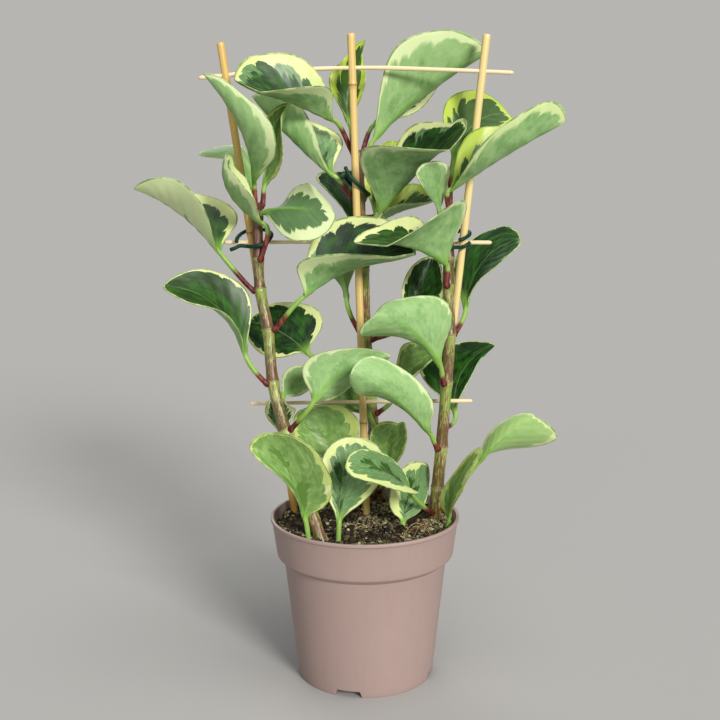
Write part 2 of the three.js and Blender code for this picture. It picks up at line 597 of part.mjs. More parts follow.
function buildTie(name) {
  return mesh(`tie_${name}`, tube(TIES[name].map(vector), TIE_RADIUS, TIE_SIDES, TIE_STEPS), "tie");
}

// Plain holes in the soil for the canes, the stems and the stalks that rise from it
function soilDrills() {
  const above = SOIL_LEVEL + 8;
  const canes = Object.keys(CANES).map((side) =>
    rod(onCane(side, CANE_FOOT - GAP), onCane(side, above), CANE_RADIUS + GAP + 0.15, 10));
  const stems = Object.keys(STEMS).map((side) => {
    const { point, tangent } = atHeight(stemPath(side), SOIL_LEVEL);
    const reach = (level) => point.clone().addScaledVector(tangent, (level - SOIL_LEVEL) / tangent.z);
    return rod(reach(STEM_ROOT - GAP), reach(above), STEM_RADIUS_LOW + GAP + 0.5, 12);
  });
  const stalks = LEAVES.filter(([, place]) => Array.isArray(place)).map(([, place]) =>
    rod(new THREE.Vector3(...place, STALK_ROOT - GAP), new THREE.Vector3(...place, above),
      STALK_RADIUS_STEM + GAP + 0.2, 10));
  return [...canes, ...stems, ...stalks];
}

const plant = new THREE.Group();
plant.add(buildPot());
plant.add(buildSoil(soilDrills()));
for (const side of Object.keys(CANES)) plant.add(buildCane(side));
for (const name of Object.keys(CROSSBARS)) plant.add(buildCrossbar(name));
for (const side of Object.keys(STEMS)) plant.add(buildStem(side));
for (const name of Object.keys(TIES)) plant.add(buildTie(name));
for (const leaf of LEAVES) plant.add(buildLeaf(leaf));

export default plant;
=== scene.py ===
"""Variegated baby rubber plant in a mauve nursery pot, tied to a bamboo rack.

Every piece is worked out with numpy in metres and stands for one solid, apart from the loose bits on
the soil, which have none. Points in the lists are in millimetres, as on the drawing of the solids.
"""

import json
import logging
import math
from dataclasses import dataclass, field
from enum import Enum
from functools import cache
from typing import NamedTuple

import bpy
import numpy as np
from mathutils import Matrix, Vector

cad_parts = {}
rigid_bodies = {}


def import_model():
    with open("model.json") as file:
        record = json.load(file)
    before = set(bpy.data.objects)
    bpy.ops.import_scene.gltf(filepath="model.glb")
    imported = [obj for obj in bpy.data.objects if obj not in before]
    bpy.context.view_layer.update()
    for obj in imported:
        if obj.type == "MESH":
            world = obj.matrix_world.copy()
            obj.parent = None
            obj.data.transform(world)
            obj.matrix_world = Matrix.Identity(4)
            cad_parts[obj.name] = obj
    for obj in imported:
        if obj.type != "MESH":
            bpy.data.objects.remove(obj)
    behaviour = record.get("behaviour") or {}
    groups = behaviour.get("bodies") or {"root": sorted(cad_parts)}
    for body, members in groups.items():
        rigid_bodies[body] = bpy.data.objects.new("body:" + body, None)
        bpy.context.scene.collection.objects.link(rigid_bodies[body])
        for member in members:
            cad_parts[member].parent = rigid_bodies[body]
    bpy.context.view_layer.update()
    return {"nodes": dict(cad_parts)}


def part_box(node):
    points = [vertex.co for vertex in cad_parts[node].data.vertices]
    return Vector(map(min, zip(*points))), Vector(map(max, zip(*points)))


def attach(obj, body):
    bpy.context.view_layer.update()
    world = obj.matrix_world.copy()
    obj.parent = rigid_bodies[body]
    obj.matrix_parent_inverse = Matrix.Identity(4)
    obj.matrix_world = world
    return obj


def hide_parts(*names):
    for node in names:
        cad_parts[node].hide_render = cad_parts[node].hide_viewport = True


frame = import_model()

logging.basicConfig(level=logging.INFO, format="%(message)s")
log = logging.getLogger("plant")

MM = 0.001
SEED = 20
TURN = 2.0 * math.pi
Array = np.ndarray
Point = tuple[float, float, float]
Colour = tuple[float, float, float, float]
Socket = bpy.types.NodeSocket
Material = bpy.types.Material


# Small numpy helpers


def unit(rows: Array) -> Array:
    """Rows scaled to length one."""
    return rows / np.maximum(np.linalg.norm(rows, axis=-1, keepdims=True), 1e-12)


def smooth(low: float, high: float, value: Array) -> Array:
    """Smooth step from 0 at low to 1 at high."""
    share = np.clip((value - low) / (high - low), 0.0, 1.0)
    return share * share * (3.0 - 2.0 * share)


def bell(value: Array, width: float) -> Array:
    """A bump that is 1 at 0: e to the power of -(value / width) squared."""
    return np.exp(-((value / width) ** 2))


def circle(count: int) -> Array:
    """Even angles, once round."""
    return np.arange(count) * TURN / count


def places_at(x: Array | float, y: Array | float, z: Array | float) -> Array:
    """Places from three coordinates, which may be of different shapes that fit together."""
    return np.stack(np.broadcast_arrays(x, y, z), axis=-1)


def metres(x: Array | float, y: Array | float, z: Array | float) -> Array:
    """Places in metres from coordinates in mm."""
    return places_at(x, y, z) * MM


def blunt(count: int, first: float, second: float) -> Array:
    """Ones along a rod of count rings, with a smaller first and second ring at each end.

    Args:
        count: Number of rings.
        first: Value of the first ring at each end.
        second: Value of the ring beside it.

    Returns:
        Values of shape (count,).
    """
    end = np.ones(count)
    end[[0, -1]], end[[1, -2]] = first, second
    return end


def ripple(points: Array, wavelength: float, seed: int, waves: int = 14) -> Array:
    """Smooth random relief between about -1 and 1.

    A sum of plane waves in seeded directions, all of about the given wavelength.

    Args:
        points: Places of shape (..., 3), in metres.
        wavelength: Length of the waves, in metres.
        seed: Seed of the directions and phases.
        waves: Number of waves.

    Returns:
        One value for each place.
    """
    draw = np.random.default_rng(seed)
    direction = unit(draw.normal(size=(waves, 3)))
    number = TURN / (wavelength * draw.uniform(0.7, 1.5, waves))
    phase = draw.uniform(0.0, TURN, waves)
    total = np.sin(points @ (direction * number[:, None]).T + phase)
    return total.sum(axis=-1) / math.sqrt(waves * 1.2)


def smooth_path(points: Array, count: int) -> Array:
    """A smooth path through points, as evenly spaced places by parameter.

    Each stretch is a cubic whose end tangents are half the chord between the neighbours, and the
    ends repeat their own stretch.

    Args:
        points: Points on the path, of shape (n, 3).
        count: Number of places to give back.

    Returns:
        Places on the path, of shape (count, 3).
    """
    padded = np.vstack([2 * points[0] - points[1], points, 2 * points[-1] - points[-2]])
    place = np.linspace(0.0, len(points) - 1.0, count)
    index = np.minimum(place.astype(int), len(points) - 2)
    t = (place - index)[:, None]
    p0, p1, p2, p3 = (padded[index + k] for k in range(4))
    start = (2 * t**3 - 3 * t**2 + 1) * p1 + (t**3 - 2 * t**2 + t) * 0.5 * (p2 - p0)
    return start + (3 * t**2 - 2 * t**3) * p2 + (t**3 - t**2) * 0.5 * (p3 - p1)


def frames_along(path: Array, side: Array) -> tuple[Array, Array]:
    """Unit side and normal at each place of a path, without twist.

    The side is carried from place to place and pressed square to the tangent each time.

    Args:
        path: Places on the path, of shape (n, 3).
        side: Side wanted at the first place.

    Returns:
        Unit sides and normals, each of shape (n, 3).
    """
    tangent = unit(np.gradient(path, axis=0))
    sides = np.empty_like(path)
    for k, along in enumerate(tangent):
        side = unit(side - (side @ along) * along)
        sides[k] = side
    return sides, np.cross(tangent, sides)


@dataclass
class Skin:
    """Vertices, faces and vertex values of a surface."""

    points: Array
    quads: Array
    triangles: Array = field(default_factory=lambda: np.empty((0, 3), int))
    values: dict[str, Array] = field(default_factory=dict)

    @staticmethod
    def from_rings(rings: Array, values: dict[str, Array] | None = None, capped: bool = True) -> "Skin":
        """A skin over rings that run the same way round, closed at its two ends by fans.

        Args:
            rings: Places of shape (rings, around, 3).
            values: Named numbers of shape (rings, around).
            capped: Whether the ends are closed.

        Returns:
            The skin, facing outwards when the rings run counterclockwise about the way they follow.
        """
        count, around = rings.shape[:2]
        index = np.arange(count * around).reshape(count, around)
        turned = np.roll(index, -1, axis=1)
        quads = np.stack([index[:-1], turned[:-1], turned[1:], index[1:]], axis=-1).reshape(-1, 4)
        skin = Skin(rings.reshape(-1, 3), quads)
        skin.values = {name: value.reshape(-1) for name, value in (values or {}).items()}
        if capped:
            first = len(skin.points)
            skin.points = np.vstack([skin.points, rings[0].mean(axis=0), rings[-1].mean(axis=0)])
            start = np.stack([turned[0], index[0], np.full(around, first)], axis=-1)
            end = np.stack([index[-1], turned[-1], np.full(around, first + 1)], axis=-1)
            skin.triangles = np.vstack([start, end])
            for name, value in (values or {}).items():
                skin.values[name] = np.append(skin.values[name], [value[0].mean(), value[-1].mean()])
        return skin

    @staticmethod
    def joined(skins: list["Skin"]) -> "Skin":
        """Several skins as one, without joining their faces."""
        offsets = np.cumsum([0] + [len(skin.points) for skin in skins[:-1]])
        return Skin(
            np.vstack([skin.points for skin in skins]),
            np.vstack([skin.quads + offset for skin, offset in zip(skins, offsets)]),
            np.vstack([skin.triangles + offset for skin, offset in zip(skins, offsets)]),
            {name: np.concatenate([skin.values[name] for skin in skins]) for name in skins[0].values},
        )

    def copies(self, places: Array, turns: Array, sizes: Array) -> "Skin":
        """The skin repeated, each copy scaled, turned and moved.

        Args:
            places: Where each copy stands, of shape (n, 3).
            turns: A turning matrix for each copy, of shape (n, 3, 3).
            sizes: Scale of each copy along its own axes, of shape (n, 3).

        Returns:
            All copies as one skin. The value "copy" is a different number from 0 to 1 for each.
        """
        count, each = len(places), len(self.points)
        points = np.einsum("nij,nkj->nki", turns, self.points[None] * sizes[:, None]) + places[:, None]
        shift = (np.arange(count) * each)[:, None, None]
        values = {name: np.tile(value, count) for name, value in self.values.items()}
        values["copy"] = np.repeat(np.random.default_rng(SEED).random(count), each)
        return Skin(
            points.reshape(-1, 3),
            (self.quads[None] + shift).reshape(-1, 4),
            (self.triangles[None] + shift).reshape(-1, 3),
            values,
        )

    def build(self, name: str, material: Material) -> bpy.types.Object:
        """A smooth Blender object with this skin and its values as point attributes.

        Args:
            name: Name of the object.
            material: Its finish.

        Returns:
            The object.
        """
        mesh = bpy.data.meshes.new(name)
        corners = np.concatenate([self.quads.reshape(-1), self.triangles.reshape(-1)])
        sizes = np.repeat([4, 3], [len(self.quads), len(self.triangles)])
        mesh.vertices.add(len(self.points))
        mesh.vertices.foreach_set("co", self.points.astype(np.float32).reshape(-1))
        mesh.loops.add(len(corners))
        mesh.loops.foreach_set("vertex_index", corners.astype(np.int32))
        mesh.polygons.add(len(sizes))
        mesh.polygons.foreach_set("loop_start", (np.cumsum(sizes) - sizes).astype(np.int32))
        mesh.polygons.foreach_set("use_smooth", np.ones(len(sizes), bool))
        mesh.update(calc_edges=True)
        for key, value in self.values.items():
            mesh.attributes.new(key, "FLOAT", "POINT").data.foreach_set("value", value.astype(np.float32))
        mesh.validate()
        mesh.materials.append(material)
        piece = bpy.data.objects.new(name, mesh)
        bpy.context.scene.collection.objects.link(piece)
        return piece

    def place(self, name: str, material: Material, slot: str, node: str | None = None) -> None:
        """Builds the skin as a finished piece and sets it into the frame.

        Args:
            name: Name of the piece, which stands at the origin.
            material: Its finish.
            slot: The material slot of the record; not used.
            node: The solid that it stands for, or None.
        """
        piece = self.build(name, material)
        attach(piece, "root")
        if node:
            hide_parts(node)
        log.info("%s: %d faces", name, len(piece.data.polygons))


def round_tube(path: Array, radius: Array, sides: int, values: dict[str, Array] | None = None) -> Skin:
    """A tube of round section along a path.

    Args:
        path: Places on the axis, of shape (n, 3).
        radius: Radius at each place, of shape (n,) or (n, sides).
        sides: Number of points in each ring.
        values: Named numbers of shape (n,), the same all round.

    Returns:
        The closed skin. As values it has the way round as "turn_x" and "turn_y", and the "length"
        from the start in metres.
    """
    lies_along_x = abs(unit(path[1] - path[0])[0]) >= 0.9
    side, normal = frames_along(path, np.array([0.0, 1.0, 0.0] if lies_along_x else [1.0, 0.0, 0.0]))
    angle = circle(sides)
    shape = (len(path), sides)
    wide = np.broadcast_to(np.asarray(radius).reshape(len(path), -1), shape)
    outward = side[:, None] * (np.cos(angle) * wide)[..., None]
    rings = path[:, None] + outward + normal[:, None] * (np.sin(angle) * wide)[..., None]
    length = np.concatenate([[0.0], np.cumsum(np.linalg.norm(np.diff(path, axis=0), axis=1))])
    carried = {"turn_x": np.cos(angle), "turn_y": np.sin(angle), "length": length[:, None]}
    carried |= {name: value[:, None] for name, value in (values or {}).items()}
    return Skin.from_rings(rings, {name: np.broadcast_to(value, shape) for name, value in carried.items()})


# Shader helpers, and the node groups that several finishes share, each made once


class Value:
    """What a socket gives, which adds, takes away and multiplies as a plain number does."""

    def __init__(self, graph: "Graph", socket: Socket) -> None:
        """Keeps the socket and the graph that it is in."""
        self.graph = graph
        self.socket = socket

    def op(self, operation: str, *others: object) -> "Value":
        """The result of a Math node on this and others."""
        return self.graph.math(operation, self, *others)

    def __add__(self, other: object) -> "Value":
        """The sum."""
        return self.op("ADD", other)

    def __sub__(self, other: object) -> "Value":
        """The difference."""
        return self.op("SUBTRACT", other)

    def __rsub__(self, other: object) -> "Value":
        """A number less this."""
        return self.graph.math("SUBTRACT", other, self)

    def __mul__(self, other: object) -> "Value":
        """The product."""
        return self.op("MULTIPLY", other)

    def scaled(self, low: float, high: float) -> "Value":
        """This, from 0 to 1, taken to the range low to high."""
        return self.op("MULTIPLY_ADD", high - low, low)

    def step(self, low: object, high: object) -> "Value":
        """A smooth step from 0 at low to 1 at high."""
        inputs = {"Value": self, "From Min": low, "From Max": high}
        return self.graph.made("ShaderNodeMapRange", inputs, "Result", interpolation_type="SMOOTHSTEP")

    def mix(self, first: object, second: object) -> "Value":
        """Two colours mixed by this share of the second."""
        inputs = {"Factor": self, "A": first, "B": second}
        return self.graph.made("ShaderNodeMix", inputs, "Result", data_type="RGBA")


class Cells(NamedTuple):
    """What a row of cells gives: three numbers that each cell keeps, and how near its border is."""

    first: Value
    second: Value
    third: Value
    border: Value

    def hollow(self, width: float) -> Value:
        """1 at a cell's border, falling to 0 inside it as (1 - border / width) squared."""
        share = self.border.op("MULTIPLY_ADD", -1.0 / width, 1.0).op("MAXIMUM", 0.0)
        return share * share


class Graph:
    """Short ways to add and join shader nodes in one tree."""

    def __init__(self, tree: bpy.types.NodeTree) -> None:
        """Keeps the tree that the nodes go into."""
        self.tree = tree

    def feed(self, node: bpy.types.Node, values: dict[str | int, object]) -> None:
        """Joins a node's inputs to values of the graph, or sets them to plain numbers and colours."""
        for key, value in values.items():
            if isinstance(value, Value):
                self.tree.links.new(value.socket, node.inputs[key])
            else:
                node.inputs[key].default_value = value

    def node(self, kind: str, values: dict[str | int, object], **settings: object) -> bpy.types.Node:
        """A new node of a kind, with its inputs fed and its properties set.

        Args:
            kind: Blender's name for the kind.
            values: What each input is fed, by name or number.
            **settings: Properties of the node.

        Returns:
            The node.
        """
        node = self.tree.nodes.new(kind)
        for name, value in settings.items():
            setattr(node, name, value)
        self.feed(node, values)
        return node

    def made(
        self, kind: str, values: dict[str | int, object], output: str | int = 0, **settings: object
    ) -> Value:
        """One output of a new node."""
        return Value(self, self.node(kind, values, **settings).outputs[output])

    def math(self, operation: str, *values: object) -> Value:
        """The result of a Math node."""
        return self.made("ShaderNodeMath", dict(enumerate(values)), operation=operation)

    def vector(self, x: object, y: object, z: object) -> Value:
        """Three numbers as a vector."""
        return self.made("ShaderNodeCombineXYZ", {0: x, 1: y, 2: z})

    def noise(self, vector: Value, scale: object, detail: float, rough: float = 0.55) -> Value:
        """Noise between 0 and 1 at a place."""
        inputs = {"Vector": vector, "Scale": scale, "Detail": detail, "Roughness": rough}
        return self.made("ShaderNodeTexNoise", inputs, "Fac")

    def flow(
        self, first: Value, second: Value, third: Value, scale: tuple[float, float], detail: float
    ) -> Value:
        """Noise between 0 and 1 over two numbers of a surface, each with its own scale."""
        return self.noise(self.vector(first * scale[0], second * scale[1], third), 1.0, detail)

    def cells(self, value: Value) -> Cells:
        """Uneven cells along a line, with random numbers and the distance to the border.

        Args:
            value: Number along the line, with a cell to each unit.

        Returns:
            The cells.
        """
        kind, inputs, line = "ShaderNodeTexVoronoi", {"W": value, "Scale": 1.0}, {"voronoi_dimensions": "1D"}
        colour = self.made(kind, inputs, "Color", **line)
        border = self.made(kind, inputs, "Distance", feature="DISTANCE_TO_EDGE", **line)
        numbers = self.node("ShaderNodeSeparateColor", {0: colour}).outputs
        return Cells(*(Value(self, socket) for socket in numbers), border)

    def attribute(self, name: str) -> Value:
        """A number carried by the piece's vertices."""
        return self.made("ShaderNodeAttribute", {}, "Fac", attribute_name=name)

    def objects(self) -> Value:
        """The place in the piece's own metres."""
        return self.made("ShaderNodeTexCoord", {}, "Object")

    def along_tube(self, radius: float) -> Value:
        """A place on a tube laid straight: round it by its turn, and up by its length."""
        x, y = (self.attribute(name) * radius for name in ("turn_x", "turn_y"))
        return self.vector(x, y, self.attribute("length"))

    def layers(self, colour: object, *coats: tuple[Value, object]) -> Value:
        """A colour with coats laid over it in turn, each by a share of its own."""
        for share, coat in coats:
            colour = share.mix(colour, coat)
        return colour

    def bump(self, height: Value, strength: float, distance: float) -> Value:
        """A normal raised by a height."""
        inputs = {"Height": height, "Strength": strength, "Distance": distance}
        return self.made("ShaderNodeBump", inputs, "Normal")

    def use(self, group: "Group", **values: object) -> dict[str, Value]:
        """A group placed in this graph with its inputs fed, as its named outputs.

        Args:
            group: The group.
            **values: What each input is fed.

        Returns:
            Each output by its name.
        """
        node = self.node("ShaderNodeGroup", {}, node_tree=group.tree)
        self.feed(node, values)
        return {socket.name: Value(self, socket) for socket in node.outputs}


class Group(Graph):
    """A shader node group with named sockets."""

    def __init__(self, name: str, inputs: dict[str, object], outputs: str) -> None:
        """Makes the group and its sockets.

        Args:
            name: Name of the group.
            inputs: Default value of each input. Three numbers make a vector.
            outputs: Names of the outputs, which are numbers.
        """
        super().__init__(bpy.data.node_groups.new(name, "ShaderNodeTree"))
        sockets = self.tree.interface
        for key, value in inputs.items():
            kind = "NodeSocketVector" if isinstance(value, tuple) else "NodeSocketFloat"
            sockets.new_socket(key, in_out="INPUT", socket_type=kind).default_value = value
        for key in outputs.split():
            sockets.new_socket(key, in_out="OUTPUT", socket_type="NodeSocketFloat")
        given = self.node("NodeGroupInput", {})
        self.given = [Value(self, given.outputs[key]) for key in inputs]

    def give(self, **values: Value) -> None:
        """Joins the group's outputs."""
        self.node("NodeGroupOutput", values)


class Finish(Graph):
    """The graph of a new material."""

    def __init__(self, name: str) -> None:
        """Makes the material."""
        self.material = bpy.data.materials.new(name)
        self.material.use_nodes = True
        super().__init__(self.material.node_tree)

    def shade(self, **values: object) -> Material:
        """Feeds the Principled shader, with _ for each space in a socket's name.

        Returns:
            The finished material.
        """
        shader = self.tree.nodes["Principled BSDF"]
        self.feed(shader, {key.replace("_", " "): value for key, value in values.items()})
        return self.material


def srgb(red: float, green: float, blue: float) -> Colour:
    """A linear colour from the usual 0 to 255 display values."""
    shares = [value / 255.0 for value in (red, green, blue)]
    linear = [share / 12.92 if share <= 0.04045 else ((share + 0.055) / 1.055) ** 2.4 for share in shares]
    return (*linear, 1.0)


@cache
def fibre_group() -> Group:
    """Fine fibres that run along Z: streaks that are long upwards and narrow across.

    Returns:
        The group.
    """
    group = Group("fibres", {"Place": (0.0, 0.0, 0.0), "Fineness": 900.0, "Length": 30.0}, "Streak")
    place, fineness, length = group.given
    x, y, z = (Value(group, socket) for socket in group.node("ShaderNodeSeparateXYZ", {0: place}).outputs)
    group.give(Streak=group.noise(group.vector(x * fineness, y * fineness, z * length), 1.0, 4.0, 0.6))
    return group


@cache
def speckle_group() -> Group:
    """Fine grain and larger clouds over any surface, for dust, pores and small bumps.

    Returns:
        The group.
    """
    group = Group("speckle", {"Place": (0.0, 0.0, 0.0), "Grain": 1500.0, "Patch": 40.0}, "Fine Broad")
    place, grain, patch = group.given
    group.give(Fine=group.noise(place, grain, 3.0, 0.6), Broad=group.noise(place, patch, 4.0, 0.6))
    return group


@cache
def variegation_group() -> Group:
    """The leaf's pattern in its own coordinates, as masks.

    A vein runs outwards and forwards from the midrib, so u - 0.36 |v| is the same all along it.
    Cells of that number are the sectors. Each reaches outwards to a length of its own in a round
    lobe, with wedges of cream between, and two rows of smaller cells give it fingers and teeth.
    Inside, each sector is dark green as far as a second length and grey-green beyond it.

    Returns:
        The group.
    """
    group = Group(
        "variegation",
        {"Along": 0.0, "Across": 0.0, "Seed": 0.0, "Cream": 0.3, "Dark": 0.6, "Under": 0.0},
        "Cream Grey Fleck Lime Tone Rib Keel Veins Edge",
    )
    along, across, seed, cream, dark, under = group.given
    vein_slant, blunt_from = 0.36, 0.74
    away = across.op("ABSOLUTE")
    shift = seed * 57.0 + across.op("SIGN") * 7.3
    vein = along - away * vein_slant
    bent = vein + group.flow(along, across, shift, (4.0, 2.5), 2.0) * 0.12
    tip = ((along - blunt_from) * (1.0 / (1.0 - blunt_from))).op("MAXIMUM", 0.0)
    outwards = (away.op("POWER", 4.0) + tip.op("POWER", 4.0)).op("POWER", 0.25)

    sector, finger, tooth = (group.cells(bent * count + shift) for count in (6.0, 17.0, 52.0))
    lean = sector.first - 0.5 + (finger.first - 0.5) * 0.2
    wedges = sector.hollow(0.42) * sector.second.scaled(0.15, 0.6)
    relief = lean * 0.36 + 0.12 - wedges - finger.hollow(0.45) * 0.07 - tooth.hollow(0.45) * 0.035
    feather = group.flow(bent, away, shift, (36.0, 24.0), 3.0) - 0.5
    amount = (cream * 1.3 + 0.06).op("MINIMUM", 1.0)
    reach = relief * amount + (1.0 - cream)
    width = under.scaled(0.012, 0.04)
    creamy = (outwards + feather * 0.07).step(reach - width, reach + width)
    inner = dark + (sector.third - 0.5) * 0.7 + (finger.second - 0.5) * 0.22 - finger.hollow(0.4) * 0.08
    inner = reach * inner
    grey = (outwards + feather * 0.14).step(inner - 0.03, inner + 0.03)

    line = away * (along * 2.2 + 0.08).op("MINIMUM", 1.0)
    keel = (1.0 - line.step(0.03, 0.085)) * (1.0 - along.step(0.35, 0.8))
    veins = 1.0 - group.cells(vein * 9.0 + shift).border.step(0.01, 0.06)
    broken = group.flow(along, across, shift, (16.0, 5.0), 2.0).step(0.38, 0.6)
    group.give(
        Cream=creamy,
        Grey=grey,
        Fleck=group.flow(bent, away, shift, (20.0, 8.0), 3.0).step(0.42, 0.7),
        Lime=group.flow(bent, away, shift, (9.0, 2.0), 2.0).step(0.15, 0.5),
        Tone=group.flow(along, across, shift, (7.0, 6.0), 3.0),
        Rib=1.0 - line.step(0.006, 0.032),
        Keel=keel,
        Veins=veins * (1.0 - outwards),
        Edge=outwards.step(0.972, 0.99) * broken.scaled(0.35, 1.0),
    )
    return group


# Finishes


@dataclass(frozen=True)
class PotPlastic:
    """Mauve-taupe moulded plastic with faint flow streaks and a little dust."""

    body: Colour = srgb(162, 139, 132)
    dull: Colour = srgb(142, 120, 114)
    dust: Colour = srgb(172, 150, 143)

    def material(self) -> Material:
        """The finished material."""
        graph = Finish("pot_plastic")
        place = graph.objects()
        dust = graph.use(speckle_group(), Place=place, Grain=2600.0, Patch=24.0)
        flow = graph.use(fibre_group(), Place=place, Fineness=260.0, Length=14.0)["Streak"]
        return graph.shade(
            Base_Color=graph.layers(
                self.body,
                (flow.step(0.35, 0.75) * 0.12, self.dull),
                (dust["Broad"].step(0.5, 0.8) * 0.25, self.dust),
            ),
            Roughness=dust["Broad"].scaled(0.42, 0.62),
            Normal=graph.bump(dust["Fine"], 0.12, 0.0002),
            Specular_IOR_Level=0.4,
        )


@dataclass(frozen=True)
class Peat:
    """Moist peat and what lies in it: dull, with fine grain, mostly dark with few pale bits.

    Loose bits each have a tone of their own, and the higher their rarity, the fewer are pale.
    """

    name: str
    low: Colour
    high: Colour
    rarity: float | None = 1.0

    def material(self) -> Material:
        """The finished material. Without a rarity the tone varies by patches alone."""
        graph = Finish(self.name)
        grain = graph.use(speckle_group(), Place=graph.objects(), Grain=2200.0, Patch=260.0)
        share = grain["Broad"].step(0.3, 0.7)
        if self.rarity is not None:
            share = share * 0.2 + graph.attribute("copy").op("POWER", self.rarity) * 0.8
        return graph.shade(
            Base_Color=share.mix(self.low, self.high),
            Roughness=0.9,
            Normal=graph.bump(grain["Fine"], 0.5, 0.0005),
            Specular_IOR_Level=0.25,
        )


@dataclass(frozen=True)
class Bamboo:
    """Pale split bamboo with fibres along it, tan edges and darker rings at its nodes."""

    name: str
    pale: Colour
    warm: Colour
    edge: Colour
    stain: Colour = srgb(150, 104, 26)

    def material(self) -> Material:
        """The finished material."""
        graph = Finish(self.name)
        place = graph.along_tube(0.0024)
        grain = graph.use(fibre_group(), Place=place, Fineness=2600.0, Length=22.0)["Streak"]
        wide = graph.use(fibre_group(), Place=place, Fineness=700.0, Length=9.0)["Streak"]
        golden = graph.attribute("golden") + wide.scaled(-0.8, 0.8)
        return graph.shade(
            Base_Color=graph.layers(
                self.pale,
                (golden.step(0.0, 1.0), self.warm),
                (grain.step(0.55, 0.75) * 0.45, self.edge),
                (graph.attribute("ring") * 0.75, self.edge),
                (graph.attribute("stain"), self.stain),
            ),
            Roughness=grain.scaled(0.28, 0.5),
            Normal=graph.bump(grain, 0.35, 0.0004),
        )


@dataclass(frozen=True)
class StemSkin:
    """Succulent stem: red-brown above each joint and green below the next, streaked and glossy, with pale
    silver streaks that are partly painted highlight.
    """

    green: Colour = srgb(132, 164, 62)
    olive: Colour = srgb(154, 150, 80)
    brown: Colour = srgb(94, 32, 32)
    silver_and_highlight: Colour = srgb(202, 186, 138)
    burgundy: Colour = srgb(84, 24, 28)
    ring: Colour = srgb(168, 180, 100)

    def material(self) -> Material:
        """The finished material."""
        graph = Finish("stem_skin")
        place = graph.along_tube(0.0036)
        fine = graph.use(fibre_group(), Place=place, Fineness=2100.0, Length=240.0)["Streak"]
        broad = graph.use(fibre_group(), Place=place, Fineness=800.0, Length=90.0)["Streak"]
        pores = graph.use(speckle_group(), Place=graph.objects(), Grain=1400.0, Patch=90.0)
        red = graph.attribute("red")
        streaks = red * 0.34 + fine * 1.3 + pores["Broad"] * 0.3 - 0.45
        return graph.shade(
            Base_Color=graph.layers(
                self.green,
                (broad.step(0.42, 0.62), self.olive),
                # Pale silver streaks: partly the stem's own silvery tone, partly painted highlight.
                (broad.step(0.5, 0.58) * red.scaled(0.3, 0.65), self.silver_and_highlight),
                (streaks.step(0.43, 0.59) * 0.85, self.brown),
                (graph.attribute("young") * 0.8, self.burgundy),
                (graph.attribute("ring") * 0.65, self.ring),
            ),
            Roughness=pores["Broad"].scaled(0.26, 0.48),
            Normal=graph.bump(fine + pores["Fine"] * 0.3, 0.3, 0.0006),
            Coat_Weight=0.3,
            Coat_Roughness=0.3,
        )


@dataclass(frozen=True)
class TieWire:
    """Dark green plastic coat over wire."""

    coat: Colour = srgb(4, 62, 44)
    shade: Colour = srgb(2, 38, 28)

    def material(self) -> Material:
        """The finished material."""
        graph = Finish("tie_wire")
        grain = graph.use(speckle_group(), Place=graph.objects(), Grain=1200.0, Patch=300.0)
        return graph.shade(
            Base_Color=grain["Broad"].mix(self.coat, self.shade),
            Roughness=grain["Fine"].scaled(0.4, 0.6),
            Normal=graph.bump(grain["Fine"], 0.2, 0.0002),
            Specular_IOR_Level=0.3,
        )


